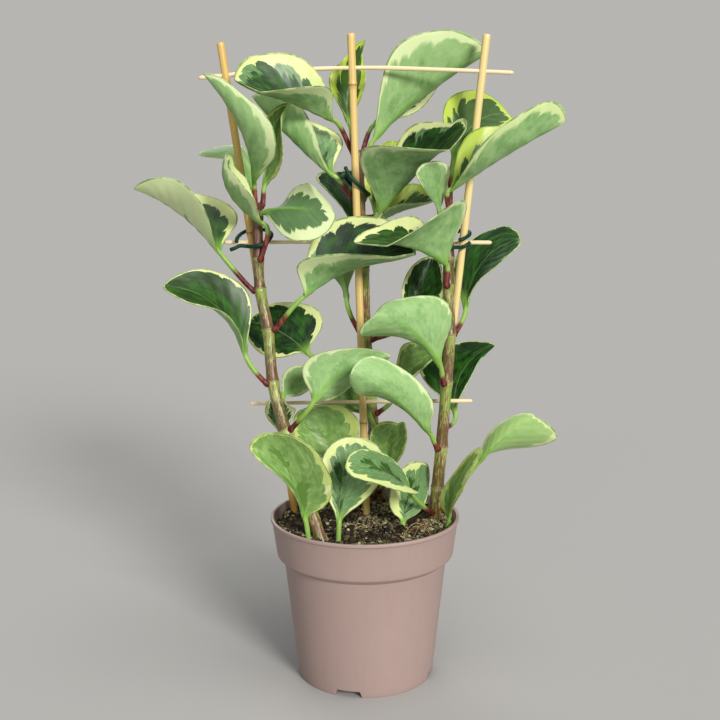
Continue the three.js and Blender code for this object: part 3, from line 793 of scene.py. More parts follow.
@dataclass(frozen=True)
class LeafSkin:
    """Thick satin blade, deep green with grey-green and cream above and sage green below.

    The stalk is bright green and turns burgundy near the stem.
    """

    deep: Colour = srgb(11, 39, 10)
    leafy: Colour = srgb(40, 88, 20)
    mossy: Colour = srgb(50, 84, 18)
    fresh: Colour = srgb(108, 144, 66)
    grey: Colour = srgb(88, 124, 78)
    grey_light: Colour = srgb(132, 164, 104)
    fresh_light: Colour = srgb(162, 194, 112)
    cream: Colour = srgb(224, 229, 170)
    lime: Colour = srgb(170, 192, 58)
    sage: Colour = srgb(111, 153, 88)
    sage_light: Colour = srgb(146, 182, 118)
    # Painted shade for the underside of leaves with the SHADED look.
    sage_painted_shade: Colour = srgb(72, 104, 62)
    sage_cream: Colour = srgb(214, 226, 174)
    bloom: Colour = srgb(176, 204, 150)
    rim: Colour = srgb(62, 112, 34)
    keel: Colour = srgb(116, 166, 62)
    stalk: Colour = srgb(128, 172, 66)
    stalk_pale: Colour = srgb(158, 190, 104)
    burgundy: Colour = srgb(80, 24, 27)
    burgundy_light: Colour = srgb(144, 74, 60)

    def upper(self, graph: Graph, marks: dict[str, Value], lime: Value, pale: Value) -> Value:
        """Colour of the upper side.

        Args:
            graph: The material's graph.
            marks: Masks of the leaf's pattern.
            lime: How much of the margin may be lime.
            pale: How pale the green is.

        Returns:
            The colour.
        """
        tone, fleck = marks["Tone"], marks["Fleck"]
        dark = graph.layers(
            self.deep,
            (tone.step(0.35, 0.7), self.leafy),
            (lime.step(0.3, 0.9) * 0.8, self.mossy),
            (pale * 0.85, self.fresh),
        )
        mottled = tone.step(0.35, 0.75) + fleck * 0.4
        light = (mottled * 0.7).mix(self.fresh, self.fresh_light)
        grey = graph.layers(self.grey, (fleck * 0.6, self.grey_light), (pale * 0.9, light))
        return graph.layers(
            dark,
            (marks["Grey"], grey),
            (marks["Cream"], (marks["Lime"] * lime).mix(self.cream, self.lime)),
            (marks["Veins"] * 0.13, self.grey_light),
            (marks["Rib"] * 0.32, self.grey_light),
        )

    def lower(self, graph: Graph, marks: dict[str, Value], lime: Value, pale: Value, dark: Value) -> Value:
        """Colour of the underside: the same marks, softer and seen through a pale bloom.

        Args:
            graph: The material's graph.
            marks: Masks of the leaf's pattern, with the speckle's Fine and Broad among them.
            lime: How much of the margin may be lime.
            pale: How pale the green is.
            dark: Share of the green that is dark. Above 1.9 it also darkens the underside as painted shade.

        Returns:
            The colour.
        """
        green = graph.layers(
            self.sage,
            (marks["Broad"].step(0.35, 0.7), self.sage_light),
            (marks["Grey"] * 0.6, self.sage_light),
            (marks["Fleck"] * 0.3, self.bloom),
            (marks["Fine"].step(0.5, 0.75) * 0.35, self.bloom),
            (pale * 0.7, self.fresh_light),
            # The SHADED look's darker underside is painted shade.
            (dark.step(1.9, 2.4) * 0.85, self.sage_painted_shade),
        )
        return graph.layers(
            green,
            (marks["Cream"] * 0.9, (marks["Lime"] * lime * 0.3).mix(self.sage_cream, self.lime)),
            (marks["Veins"] * 0.14, self.bloom),
            (marks["Keel"] * 0.75, self.keel),
        )

    def material(self) -> Material:
        """The finished material."""
        graph = Finish("leaf_skin")
        names = ("along", "across", "seed", "cream", "dark", "lime", "pale", "under")
        along, across, seed, cream, dark, lime, pale, under = (graph.attribute(name) for name in names)
        place = graph.objects()
        marks = graph.use(speckle_group(), Place=place, Grain=1500.0, Patch=110.0) | graph.use(
            variegation_group(), Along=along, Across=across, Seed=seed, Cream=cream, Dark=dark, Under=under
        )
        blade = graph.layers(
            self.upper(graph, marks, lime, pale),
            (under, self.lower(graph, marks, lime, pale, dark)),
            ((1.0 - along.step(0.0, 0.2)) * 0.85, self.stalk),
            (marks["Edge"] * 0.75, self.rim),
        )
        streak = graph.use(fibre_group(), Place=place, Fineness=420.0, Length=110.0)["Streak"]
        red = streak.step(0.4, 0.66).mix(self.burgundy, self.burgundy_light)
        blotch = (streak - 0.5) * 0.9 + graph.attribute("blush")
        stalk = blotch.step(0.25, 0.75).mix(streak.mix(self.stalk, self.stalk_pale), red)
        height = marks["Fine"] * 0.35 + (1.0 - marks["Cream"]) - marks["Veins"] * 0.6
        return graph.shade(
            Base_Color=graph.attribute("stalk").mix(blade, stalk),
            Roughness=under * 0.1 + marks["Broad"].scaled(0.4, 0.56),
            Normal=graph.bump(height, 0.35, 0.0003),
            Specular_IOR_Level=0.26,
            Subsurface_Weight=0.1,
            Subsurface_Radius=(1.0, 1.6, 0.5),
            Subsurface_Scale=0.001,
            Coat_Weight=under.scaled(0.12, 0.04),
            Coat_Roughness=0.24,
        )


@dataclass(frozen=True)
class Tint:
    """How a leaf is coloured: share of its green that is dark, lime in its margin, and paleness."""

    dark: float
    lime: float
    pale: float


class Look(Enum):
    """The ways that leaves of this plant are coloured."""

    DEEP = Tint(1.25, 0.25, 0.0)
    GREEN = Tint(1.8, 0.25, 0.1)
    MIXED = Tint(0.82, 0.15, 0.05)
    BRIGHT = Tint(0.95, 0.35, 0.05)
    LIMED = Tint(1.1, 0.95, 0.05)
    GREY = Tint(0.25, 0.35, 0.15)
    SAGE = Tint(0.5, 0.25, 0.1)
    FRESH = Tint(0.25, 0.6, 0.85)
    # Underside darkened as painted shade, for a leaf that lies in shade.
    SHADED = Tint(2.4, 0.25, 0.1)


# Pot


@dataclass
class Pot:
    """The nursery pot: a turned wall with a rim band, foot notches and a floor with drain holes."""

    wall: float = 1.3
    foot_height: float = 4.3
    crease: tuple[float, float] = (52.0, 77.0)
    band_bottom: tuple[float, float] = (56.4, 80.4)
    band_top: tuple[float, float] = (59.3, 102.2)
    lip: float = 60.2
    lip_step: float = 0.6
    lip_width: float = 2.0
    foot: float = 43.7
    foot_ring: float = 2.4
    slant: float = 1.0
    pad: float = 14.0
    pad_seam: float = 0.2
    pad_hole: float = 0.4
    notch_turn: float = -14.7
    notch_wide: tuple[float, float] = (17.4, 14.6)
    notch_height: float = 4.0
    notches: int = 4
    drain_circle: float = 29.0
    drain: float = 4.0
    drains: int = 8
    columns: int = 432
    pad_columns: int = 96
    rays: int = 48
    trials: int = 900
    arc: tuple[float, ...] = (0.0, 0.25, 0.5, 0.75, 1.0)
    longest: float = 4.0

    @property
    def height(self) -> float:
        """Height of the pot's solid, in mm."""
        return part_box("pot")[1][2] / MM

    @property
    def floor(self) -> float:
        """Height of the floor's top, in mm."""
        return self.foot_height + self.wall

    def profile(self) -> Array:
        """Rounded section of the wall from the foot's inner edge, out, up, and down to the floor.

        Each row of the drawing is a corner's radius and height, and how far from it the rounding
        starts. A short arc takes its place: places on the quadratic curve between its two edges
        that has the corner as its middle point. Long straight stretches are then divided.

        Returns:
            Radius and height of each point, in mm.
        """
        section = np.array([
            [self.foot - self.foot_ring - self.slant, self.foot_height, 0.3],
            [self.foot - self.foot_ring, 0.0, 0.3],
            [self.foot, 0.0, 0.5],
            [*self.crease, 0.2],
            [*self.band_bottom, 0.9],
            [*self.band_top, 0.5],
            [self.lip, self.band_top[1] + self.lip_step, 0.4],
            [self.lip, self.height, 0.7],
            [self.lip - self.lip_width, self.height, 0.7],
            [self.inner(self.band_bottom[1]), self.band_bottom[1] + self.slant, 1.0],
            [self.inner(self.crease[1]), self.crease[1] + self.slant, 1.0],
            [self.inner(self.floor), self.floor, 1.0],
            [self.pad + self.pad_seam, self.floor, 0.8],
            [self.pad - 1.2, self.wall, 0.6],
        ])
        corners, cuts = section[:, :2], section[:, 2]
        rounded = [corners[:1]]
        t = np.array(self.arc)[:, None]
        for before, corner, after, cut in zip(corners, corners[1:], corners[2:], cuts[1:]):
            start, end = (unit(other - corner) * cut + corner for other in (before, after))
            rounded.append((1 - t) ** 2 * start + 2 * t * (1 - t) * corner + t * t * end)
        points = np.vstack([*rounded, corners[-1:]])
        spread = [points[:1]]
        for start, end in zip(points, points[1:]):
            steps = max(1, int(np.linalg.norm(end - start) / self.longest))
            spread.append(start + (end - start) * np.arange(1, steps + 1)[:, None] / steps)
        return np.vstack(spread)

    def inner(self, height: float) -> float:
        """Radius of the inside of the wall at a height, in mm."""
        radii, heights = zip((self.foot, 0.0), self.crease, self.band_bottom, self.band_top)
        return float(np.interp(height, heights, radii)) - self.wall

    def angles(self) -> tuple[Array, Array]:
        """Angle of each column and the height of the foot's cut there.

        The columns are even, with one more on each edge of each notch, so its slanted sides are
        straight from the foot to the notch's top.

        Returns:
            Angles in radians and cuts in mm, one for each column.
        """
        bottom, top = (math.asin(w / 2 / self.foot) for w in self.notch_wide)
        middles = math.radians(self.notch_turn - 90.0) + circle(self.notches)
        edges = (middles[:, None] + np.array([-bottom, -top, top, bottom])).reshape(-1)
        angle = np.unique(np.round(np.concatenate([circle(self.columns), edges % TURN]), 6))
        away = np.abs((angle - middles[:, None] + math.pi) % TURN - math.pi).min(axis=0)
        return angle, self.notch_height * np.clip((bottom - away) / (bottom - top), 0.0, 1.0)

    def wall_skin(self) -> Skin:
        """The wall, with the notches cut by lifting the foot's edge column by column.

        Outside, a lifted point also moves out with the wall's slope.

        Returns:
            The skin, open where it meets the pot's other parts.
        """
        profile = self.profile()
        angle, lift = self.angles()
        radius, height = profile[:, :1], profile[:, 1:]
        raised = np.maximum(height, np.where(height < self.foot_height - 0.05, lift[None], height))
        foot_slope = (self.crease[0] - self.foot) / self.crease[1]
        outside = np.arange(len(profile))[:, None] > len(self.arc)
        wide = radius + np.where(outside & (height < self.foot_height), foot_slope * (raised - height), 0.0)
        rings = metres(wide * np.cos(angle), wide * np.sin(angle), raised)
        return Skin.from_rings(rings[::-1], capped=False)

    def disc_skin(self) -> Skin:
        """The floor between the pad and the wall, pierced by the drain holes.

        Each sector round a hole is a fan of quads from the hole's circle out to the sector's own
        border: two arcs and two straight sides, met by rays from the hole's middle.

        Returns:
            The skin, open where it meets the pot's other parts.
        """
        skins = []
        inside, outside = self.pad + self.pad_seam, self.inner(self.floor) + 0.5
        half = math.pi / self.drains
        turn = circle(self.rays)
        ray = np.stack([np.cos(turn), np.sin(turn)], axis=-1)
        steps = np.linspace(0.0, outside, self.trials)[None, :, None]
        for bearing in circle(self.drains) + half:
            middle = self.drain_circle * np.array([math.cos(bearing), math.sin(bearing)])
            trial = middle + ray[:, None] * steps
            far = np.linalg.norm(trial, axis=-1)
            aside = np.abs((np.arctan2(trial[..., 1], trial[..., 0]) - bearing + math.pi) % TURN - math.pi)
            last = np.argmin((far < outside) & (far > inside) & (aside < half), axis=1)
            border = middle + ray * steps[0, last]
            hole = middle + ray * self.drain
            under, over = self.foot_height, self.floor
            loop = ((border, under), (hole, under), (hole, over), (border, over))
            rings = np.stack([metres(flat[:, 0], flat[:, 1], level) for flat, level in loop])
            skins.append(Skin.from_rings(rings, capped=False))
        return Skin.joined(skins)

    def pad_skin(self) -> Skin:
        """The centre pad that stands on the surface, as a shallow dish.

        Returns:
            The skin, open where it meets the pot's other parts.
        """
        section = np.array([
            [self.pad + 0.4, self.floor],
            [self.pad - 1.1, self.wall + 0.1],
            [self.pad - 1.6, self.wall],
            [self.pad_hole, self.wall],
            [self.pad_hole, 0.0],
            [self.pad - 0.4, 0.0],
            [self.pad, 0.3],
            [self.pad + 1.5, self.foot_height],
            [self.pad + 1.7, self.foot_height],
        ])
        angle = circle(self.pad_columns)
        radius, height = section[:, :1], section[:, 1:]
        rings = metres(radius * np.cos(angle), radius * np.sin(angle), height)
        return Skin.from_rings(rings[::-1], capped=False)

    def build(self, material: Material) -> None:
        """The whole pot as one piece."""
        skin = Skin.joined([self.wall_skin(), self.disc_skin(), self.pad_skin()])
        skin.place("pot_shell", material, "pot_plastic", "pot")


# Soil


@dataclass(frozen=True)
class Bits:
    """Loose knobbly bits of one kind that lie on the peat.

    A bit's size in mm is a gamma draw plus the least, times a draw for each axis, times the aspect.
    """

    name: str
    finish: Peat
    count: int
    knobs: int
    gamma: tuple[float, float]
    least: float
    uneven: float
    most: float
    aspect: Point
    sink: float
    heaped: float
    raised: float
    flat: float


CRUMBS = Bits(
    "soil_crumbs", Peat("peat_crumbs", srgb(18, 14, 11), srgb(120, 104, 76), 2.8), 3200, knobs=8,
    gamma=(2.0, 0.42), least=0.25, uneven=1.2, most=2.8, aspect=(1.0, 1.0, 1.0),
    sink=0.5, heaped=0.0, raised=0.0, flat=0.2,
)
CHIPS = Bits(
    "soil_chips", Peat("peat_chips", srgb(64, 62, 42), srgb(206, 200, 160), 1.4), 2000, knobs=9,
    gamma=(1.6, 0.24), least=0.18, uneven=1.3, most=1.6, aspect=(1.5, 0.9, 0.6),
    sink=0.1, heaped=0.8, raised=0.7, flat=0.5,
)


@dataclass
class Soil:
    """Peat with crumbs, fibres, pale chips and a little moss on its lumpy surface."""

    level: float = 98.0
    lump: float = 1.3
    radius: float = 57.2
    columns: int = 220
    rings: int = 100
    fibres: int = 330
    fibre_steps: int = 9
    roots: int = 7
    root_middle: tuple[float, float] = (31.0, -25.0)
    moss: int = 300
    moss_cushions: tuple[tuple[float, float], ...] = ((38, -6), (48, -16), (-6, -44), (12, -40))

    def height(self, x: Array, y: Array) -> Array:
        """Height of the lumpy surface over x and y, all in mm."""
        lumps = np.sin(0.17 * x + 0.6) * np.cos(0.15 * y - 0.4) + 0.6 * np.sin(0.31 * y + 0.23 * x)
        return self.level + self.lump * lumps

    def inside(self, x: Array, y: Array, gap: float) -> tuple[Array, Array]:
        """Places in mm, with those nearer to the pot than the gap pulled back in."""
        share = np.minimum(1.0, (self.radius - gap) / np.maximum(np.hypot(x, y), 1.0))
        return x * share, y * share

    def surface(self) -> Skin:
        """The peat's top and sides, from a polar grid with fine relief.

        The last rings run down along the pot and in under it, each as a radius and a height.

        Returns:
            The closed skin.
        """
        sides = ((self.radius, self.level - 3.0), (51.0, 78.0), (42.0, 8.0), (1.0, 8.0))
        side_radii, side_heights = zip(*sides)
        angle = circle(self.columns)
        radius = np.concatenate([np.linspace(0.15, self.radius, self.rings), side_radii])[:, None]
        x, y = radius * np.cos(angle), radius * np.sin(angle)
        flat = metres(x, y, 0.0)
        relief = 0.5 * ripple(flat, 0.009, 2) + 0.6 * ripple(flat, 0.0045, 3) + 0.4 * ripple(flat, 0.0019, 4)
        z = self.height(x, y) + relief
        z[self.rings :] = np.array(side_heights)[:, None]
        return Skin.from_rings(metres(x, y, z))

    def scatter(self, count: int, draw: np.random.Generator, sink: float, heaped: float = 0.0) -> Array:
        """Random places on the surface, each a little sunk by its own share.

        Above zero, heaped keeps to patches: of four places drawn for each wanted one, those with
        the highest value of a slow ripple plus noise are kept.

        Args:
            count: Number of places.
            draw: Where the random numbers come from.
            sink: Depth that a place may be sunk, in mm.
            heaped: How strongly the places keep to patches.

        Returns:
            Places of shape (count, 3), in metres.
        """
        drawn = count * 4 if heaped else count
        radius = (self.radius - 1.5) * np.sqrt(draw.random(drawn))
        angle = draw.uniform(0, TURN, drawn)
        x, y = radius * np.cos(angle), radius * np.sin(angle)
        places = metres(x, y, self.height(x, y) + draw.uniform(-sink, sink * 0.6, drawn))
        if heaped:
            score = heaped * ripple(metres(x, y, 0.0), 0.034, 11) + draw.normal(0, 0.35, drawn)
            places = places[np.argsort(-score)[:count]]
        return places

    @staticmethod
    def turns(count: int, draw: np.random.Generator, flat: float) -> Array:
        """Random turning matrices: any heading, and a tilt that grows with 1 - flat.

        Args:
            count: Number of matrices.
            draw: Where the random numbers come from.
            flat: 1 for none tilted.

        Returns:
            Matrices of shape (count, 3, 3).
        """
        heading = draw.uniform(0, TURN, count)
        tilt = (1.0 - flat) * draw.normal(0, 1.0, (count, 2))
        up = unit(np.column_stack([tilt, np.ones(count)]))
        ahead = np.column_stack([np.cos(heading), np.sin(heading), np.zeros(count)])
        ahead = unit(ahead - (ahead * up).sum(axis=1, keepdims=True) * up)
        return np.stack([ahead, np.cross(up, ahead), up], axis=-1)

    @staticmethod
    def knobbly_skin(seed: int, rows: int = 4, columns: int = 6) -> Skin:
        """A crumb of unit size: a coarse sphere pushed in and out by a ripple.

        Args:
            seed: Seed of the ripple.
            rows: Number of rings.
            columns: Points in a ring.

        Returns:
            The closed skin.
        """
        polar = np.linspace(0.25, math.pi - 0.25, rows)[:, None]
        angle = circle(columns)
        ball = places_at(np.sin(polar) * np.cos(angle), np.sin(polar) * np.sin(angle), -np.cos(polar))
        return Skin.from_rings(ball * (1.0 + 0.35 * ripple(ball, 1.3, seed))[..., None])

    def bits_skin(self, bits: Bits, draw: np.random.Generator) -> Skin:
        """All bits of one kind, each with a place, a turn and a size of its own.

        Args:
            bits: The kind.
            draw: Where the random numbers come from.

        Returns:
            The bits as one skin.
        """
        grown = draw.gamma(*bits.gamma, bits.count)[:, None] + bits.least
        sizes = grown * draw.uniform(0.6, bits.uneven, (bits.count, 3))
        sizes = np.minimum(sizes, bits.most) * np.array(bits.aspect) * MM
        places = self.scatter(bits.count, draw, bits.sink, bits.heaped) + metres(0.0, 0.0, bits.raised)
        return self.knobbly_skin(bits.knobs).copies(places, self.turns(bits.count, draw, bits.flat), sizes)

    def fibre_skin(self, draw: np.random.Generator) -> Skin:
        """Bent root and peat fibres lying on the surface, each a thin tube of its own.

        A fibre runs along its heading, bends sideways by a square and a cube of the way along, and
        arches up by 1 - (2 * way) squared. The first few are dry roots that arch higher beside the
        right stem.

        Args:
            draw: Where the random numbers come from.

        Returns:
            The fibres as one skin.
        """
        skins = []
        numbers = draw.random(self.fibres)
        way = np.linspace(-0.5, 0.5, self.fibre_steps)
        for k, start in enumerate(self.scatter(self.fibres, draw, 0.6, 0.8)):
            high = k < self.roots
            middle = np.array(self.root_middle) + draw.normal(0, 2.5, 2) if high else start[:2] / MM
            heading = draw.uniform(-0.5, 0.8) if high else draw.uniform(0, TURN)
            length = draw.uniform(9.0, 20.0) if high else draw.uniform(2.5, 9.0)
            bend = draw.normal(0, 1.1) * way**2 + draw.normal(0, 0.4) * way**3
            ahead = np.array([math.cos(heading), math.sin(heading)])[:, None]
            aside = np.array([-math.sin(heading), math.cos(heading)])[:, None]
            x, y = self.inside(*(middle[:, None] + length * (way * ahead + bend * aside)), 1.0)
            arch = (draw.uniform(4.0, 11.0) if high else draw.uniform(0.2, 1.8)) * (1 - (2 * way) ** 2)
            path = metres(x, y, self.height(x, y) + 0.3 + arch)
            radius = draw.uniform(0.10, 0.24) * (1.1 - np.abs(way)) * MM
            skins.append(round_tube(path, radius, 4, {"copy": np.full(self.fibre_steps, numbers[k])}))
        return Skin.joined(skins)

    def moss_skin(self, draw: np.random.Generator) -> Skin:
        """Short moss blades in cushions by the right stem and at the front.

        Args:
            draw: Where the random numbers come from.

        Returns:
            The blades as one skin.
        """
        centre = np.array(self.moss_cushions)[draw.integers(0, len(self.moss_cushions), self.moss)]
        x, y = self.inside(*(centre + draw.normal(0, 3.4, (self.moss, 2))).T, 2.0)
        spine = np.array([[0, 0, 0], [0.05, 0, 0.5], [0.25, 0, 1.0]])
        blade = round_tube(spine, np.array([0.13, 0.10, 0.02]), 3)
        sizes = np.repeat(draw.uniform(1.0, 2.4, self.moss)[:, None], 3, axis=1) * MM
        return blade.copies(metres(x, y, self.height(x, y) + 0.2), self.turns(self.moss, draw, 0.4), sizes)

    def build(self) -> None:
        """The soil and everything that lies on it."""
        draw = np.random.default_rng(SEED)
        dark = Peat("peat", srgb(22, 17, 12), srgb(60, 48, 36), None)
        tan = Peat("peat_fibres", srgb(96, 62, 36), srgb(204, 172, 120), 1.2)
        green = Peat("moss", srgb(84, 90, 44), srgb(162, 160, 96))
        self.surface().place("soil_surface", dark.material(), "peat_soil", "soil")
        self.bits_skin(CRUMBS, draw).place(CRUMBS.name, CRUMBS.finish.material(), "peat_soil")
        self.fibre_skin(draw).place("soil_fibres", tan.material(), "peat_soil")
        self.bits_skin(CHIPS, draw).place(CHIPS.name, CHIPS.finish.material(), "peat_soil")
        self.moss_skin(draw).place("soil_moss", green.material(), "peat_soil")


# Rack

CANE_BAMBOO = Bamboo("cane_bamboo", srgb(240, 220, 154), srgb(216, 176, 96), srgb(152, 108, 50))
BAR_BAMBOO = Bamboo("bar_bamboo", srgb(242, 224, 184), srgb(226, 194, 140), srgb(180, 138, 90))


@dataclass
class Rack:
    """Three bamboo canes with three thin crossbars through them, as points in mm."""

    cane_radius: float = 2.4
    cane_sides: int = 28
    cane_rings: int = 150
    split_turn: float = 1.1
    bar_radius: float = 1.15
    bar_sides: int = 16
    bar_rings: int = 160
    foot: float = 14.0
    soil_level: float = 98.0
    stain_height: float = 26.0
    canes: dict[str, tuple[Point, Point]] = field(default_factory=lambda: {
        "left": ((-46, 19, 98), (-87, 20, 399)),
        "middle": ((1, 19, 98), (-7, 20, 404)),
        "right": ((44, 19, 98), (76, 20, 403)),
    })
    rings: dict[str, tuple[float, ...]] = field(default_factory=lambda: {
        "left": (283.0,), "middle": (160.0, 373.0), "right": (322.0,),
    })
    golden: dict[str, float] = field(default_factory=lambda: {"left": 0.9, "middle": 0.65, "right": 0.35})
    bars: dict[str, tuple[Point, ...]] = field(default_factory=lambda: {
        "top": ((-101, 19.9, 378), (-50, 19.9, 382), (0, 19.9, 383.5), (50, 19.9, 382), (93, 19.9, 380)),
        "middle": ((-88, 19.6, 277), (-30, 19.6, 277), (30, 19.6, 276.5), (81, 19.6, 276)),
        "bottom": ((-74, 19.2, 173), (-30, 19.2, 173.5), (30, 19.2, 174), (70, 19.2, 174)),
    })

    def axis(self, side: str, height: Array) -> Array:
        """Places on a cane's axis at some heights, in mm."""
        foot, top = (np.array(point, float) for point in self.canes[side])
        return foot + (top - foot) * ((height - foot[2]) / (top[2] - foot[2]))[..., None]

    def cane_skin(self, side: str) -> Skin:
        """A cane: nearly round, a little flat on its split face, with a low ridge at each node.

        The ends are rounded over the last half millimetre and sunk at the pith. A ridge is one bell
        over the height with a thin groove, a narrower bell, taken out of its middle.

        Args:
            side: Name of the cane.

        Returns:
            The closed skin.
        """
        top = self.canes[side][1][2]
        rings = np.array(self.rings[side])
        fine = (rings[:, None] + np.linspace(-4, 4, 25)).reshape(-1)
        inner = np.unique(np.concatenate([np.linspace(self.foot, top, self.cane_rings), fine]))
        inner = inner[(inner > self.foot + 0.8) & (inner < top - 0.8)]
        foot, crown = self.foot + np.array([0.0, 0.0, 0.3]), top - np.array([0.45, 0.1, 0.0, 0.5])
        height = np.concatenate([foot, inner, crown])
        shrink = np.concatenate([[0.4, 0.9, 1.0], np.ones(len(inner)), [1.0, 0.93, 0.8, 0.3]])
        gap = np.min(np.abs(height[:, None] - rings), axis=1)
        ridge = 0.4 * bell(gap, 1.7) - 0.25 * bell(gap, 0.35)
        split = 0.93 + 0.07 * np.abs(np.cos(0.5 * (circle(self.cane_sides) - self.split_turn))) ** 0.5
        path = self.axis(side, height) * MM
        waver = 0.05 * ripple(path, 0.03, len(side))
        radius = (self.cane_radius + ridge + waver)[:, None] * split * shrink[:, None] * MM
        stained = 0.75 * float(side == "left")
        low = 1.0 - smooth(self.soil_level, self.soil_level + self.stain_height, height)
        values = {
            "ring": bell(gap, 0.5) + 0.4 * bell(gap, 1.8),
            "golden": np.full(len(height), self.golden[side]),
            "stain": stained * low + 0.4 * smooth(top - 0.3, top, height),
        }
        return round_tube(path, radius, self.cane_sides, values)

    def bar_skin(self, name: str) -> Skin:
        """A crossbar: a thin stick, slightly uneven and flat, with blunt ends.

        Args:
            name: Name of the crossbar.

        Returns:
            The closed skin.
        """
        count = self.bar_rings
        path = smooth_path(np.array(self.bars[name], float), count) * MM
        waver = 0.05 * ripple(path, 0.02, len(name) + 40)
        end = blunt(count, 0.45, 0.9)
        flat = 1.0 - 0.08 * np.cos(2 * circle(self.bar_sides))
        radius = (self.bar_radius + waver)[:, None] * flat * end[:, None] * MM
        values = {"ring": np.zeros(count), "golden": np.full(count, 0.3), "stain": 0.4 * (1.0 - end)}
        return round_tube(path, radius, self.bar_sides, values)

    def build(self) -> None:
        """All canes and crossbars."""
        cane = CANE_BAMBOO.material()
        stick = BAR_BAMBOO.material()
        for side in self.canes:
            self.cane_skin(side).place(f"bamboo_cane_{side}", cane, "cane_bamboo", f"cane_{side}")
        for name in self.bars:
            self.bar_skin(name).place(f"bamboo_bar_{name}", stick, "bar_bamboo", f"crossbar_{name}")


# Stems


@dataclass
class Stem:
    """One jointed stem: its axis from the soil up and the heights of its nodes, in mm."""

    side: str
    axis: tuple[Point, ...]
    nodes: tuple[float, ...]
    root: float = 70.0
    radius_low: float = 3.9
    radius_top: float = 3.2
    swell: float = 0.5
    reach: float = 3.0
    red: float = 0.6
    sides: int = 40
    steps: int = 420

    def path(self, count: int = 900) -> Array:
        """Places along the axis, with its buried end in line with the first stretch.

        Args:
            count: Number of places.

        Returns:
            Places of shape (count, 3), in mm.
        """
        points = np.array(self.axis, float)
        lean = unit(points[1] - points[0])
        buried = points[0] - lean * (points[0][2] - self.root) / lean[2]
        return smooth_path(np.vstack([buried, points]), count)

    def at(self, height: float) -> Array:
        """The place on the axis at a height, in mm."""
        path = self.path()
        return np.stack([np.interp(height, path[:, 2], path[:, k]) for k in range(3)], axis=-1)

    def radius(self, height: Array) -> Array:
        """Radius at some heights: a taper with a swelling at each node, in mm.

        Args:
            height: Heights in mm.

        Returns:
            A radius for each.
        """
        share = np.clip((height - self.axis[0][2]) / (self.axis[-1][2] - self.axis[0][2]), 0.0, 1.0)
        swell = bell(height[..., None] - np.array(self.nodes), self.reach).sum(axis=-1)
        return self.radius_low + (self.radius_top - self.radius_low) * share + self.swell * swell

    def skin(self) -> Skin:
        """The stem with its node rings, a leaf scar's lip at each, and a faintly fluted wall.

        To the radius over the height are added, at each node, a bell above it for the lip and a
        bell taken away below that, then two cosines round the stem and a ripple. The top closes as
        the root of the way left to it.

        Returns:
            The closed skin.
        """
        path = self.path(self.steps)
        height = path[:, 2]
        top = self.axis[-1][2]
        gap = height[:, None] - np.array(self.nodes)
        lip = (0.28 * bell(gap - 0.9, 0.45) - 0.22 * bell(gap - 0.1, 0.4)).sum(axis=1)
        angle = circle(self.sides)
        flute = 0.07 * np.cos(3 * angle + 0.02 * height[:, None]) + 0.05 * np.cos(7 * angle + 1.3)
        round_it = metres(3.0 * np.cos(angle), 3.0 * np.sin(angle), 0.0)
        knobs = 0.10 * ripple(path[:, None] * MM + round_it, 0.011, len(self.side))
        close = np.sqrt(np.clip((top + 0.4 - height) / 2.4, 0.02, 1.0))[:, None]
        radius = (self.radius(height) + lip)[:, None] + flute + knobs
        joints = np.array([self.axis[0][2] - 30.0, *self.nodes, top + 20.0])
        above = np.searchsorted(joints, height).clip(1, len(joints) - 1)
        share = (height - joints[above - 1]) / (joints[above] - joints[above - 1])
        low = 1.0 - smooth(100.0, 155.0, height)
        values = {
            "ring": bell(np.abs(gap - 0.4).min(axis=1), 0.55) + 0.3 * bell(share - 1.0, 0.08),
            "red": (1.0 - smooth(0.15, 0.95, share)) * self.red + 0.25 + 0.3 * low,
            "young": smooth(top - 62.0, top - 20.0, height),
        }
        return round_tube(path * MM, radius * close * MM, self.sides, values)


STEMS: dict[str, Stem] = {
    "left": Stem(
        "left",
        ((-27, -33, 98), (-38, -24, 131), (-49, -12, 162), (-57, -3, 191), (-60, 4, 223), (-65, 9, 249),
         (-66, 12, 276), (-66, 14, 302)),
        (126, 162, 191, 223, 248, 267, 292),
    ),
    "middle": Stem(
        "middle",
        ((9, 43, 98), (8, 42, 128), (6, 40, 156), (3, 37, 190), (1, 33, 225), (0, 31, 260), (-2, 29, 300),
         (-3, 29, 334)),
        (120, 147, 174, 218, 259, 283, 307, 328),
    ),
    "right": Stem(
        "right",
        ((45, 6, 98), (47, 5, 122), (49, 4, 147), (52, 4, 190), (54, 6, 219), (53, 9, 245), (53, 11, 271),
         (53, 13, 299)),
        (120, 147, 189, 219, 250, 267, 290),
    ),
}


# Leaves


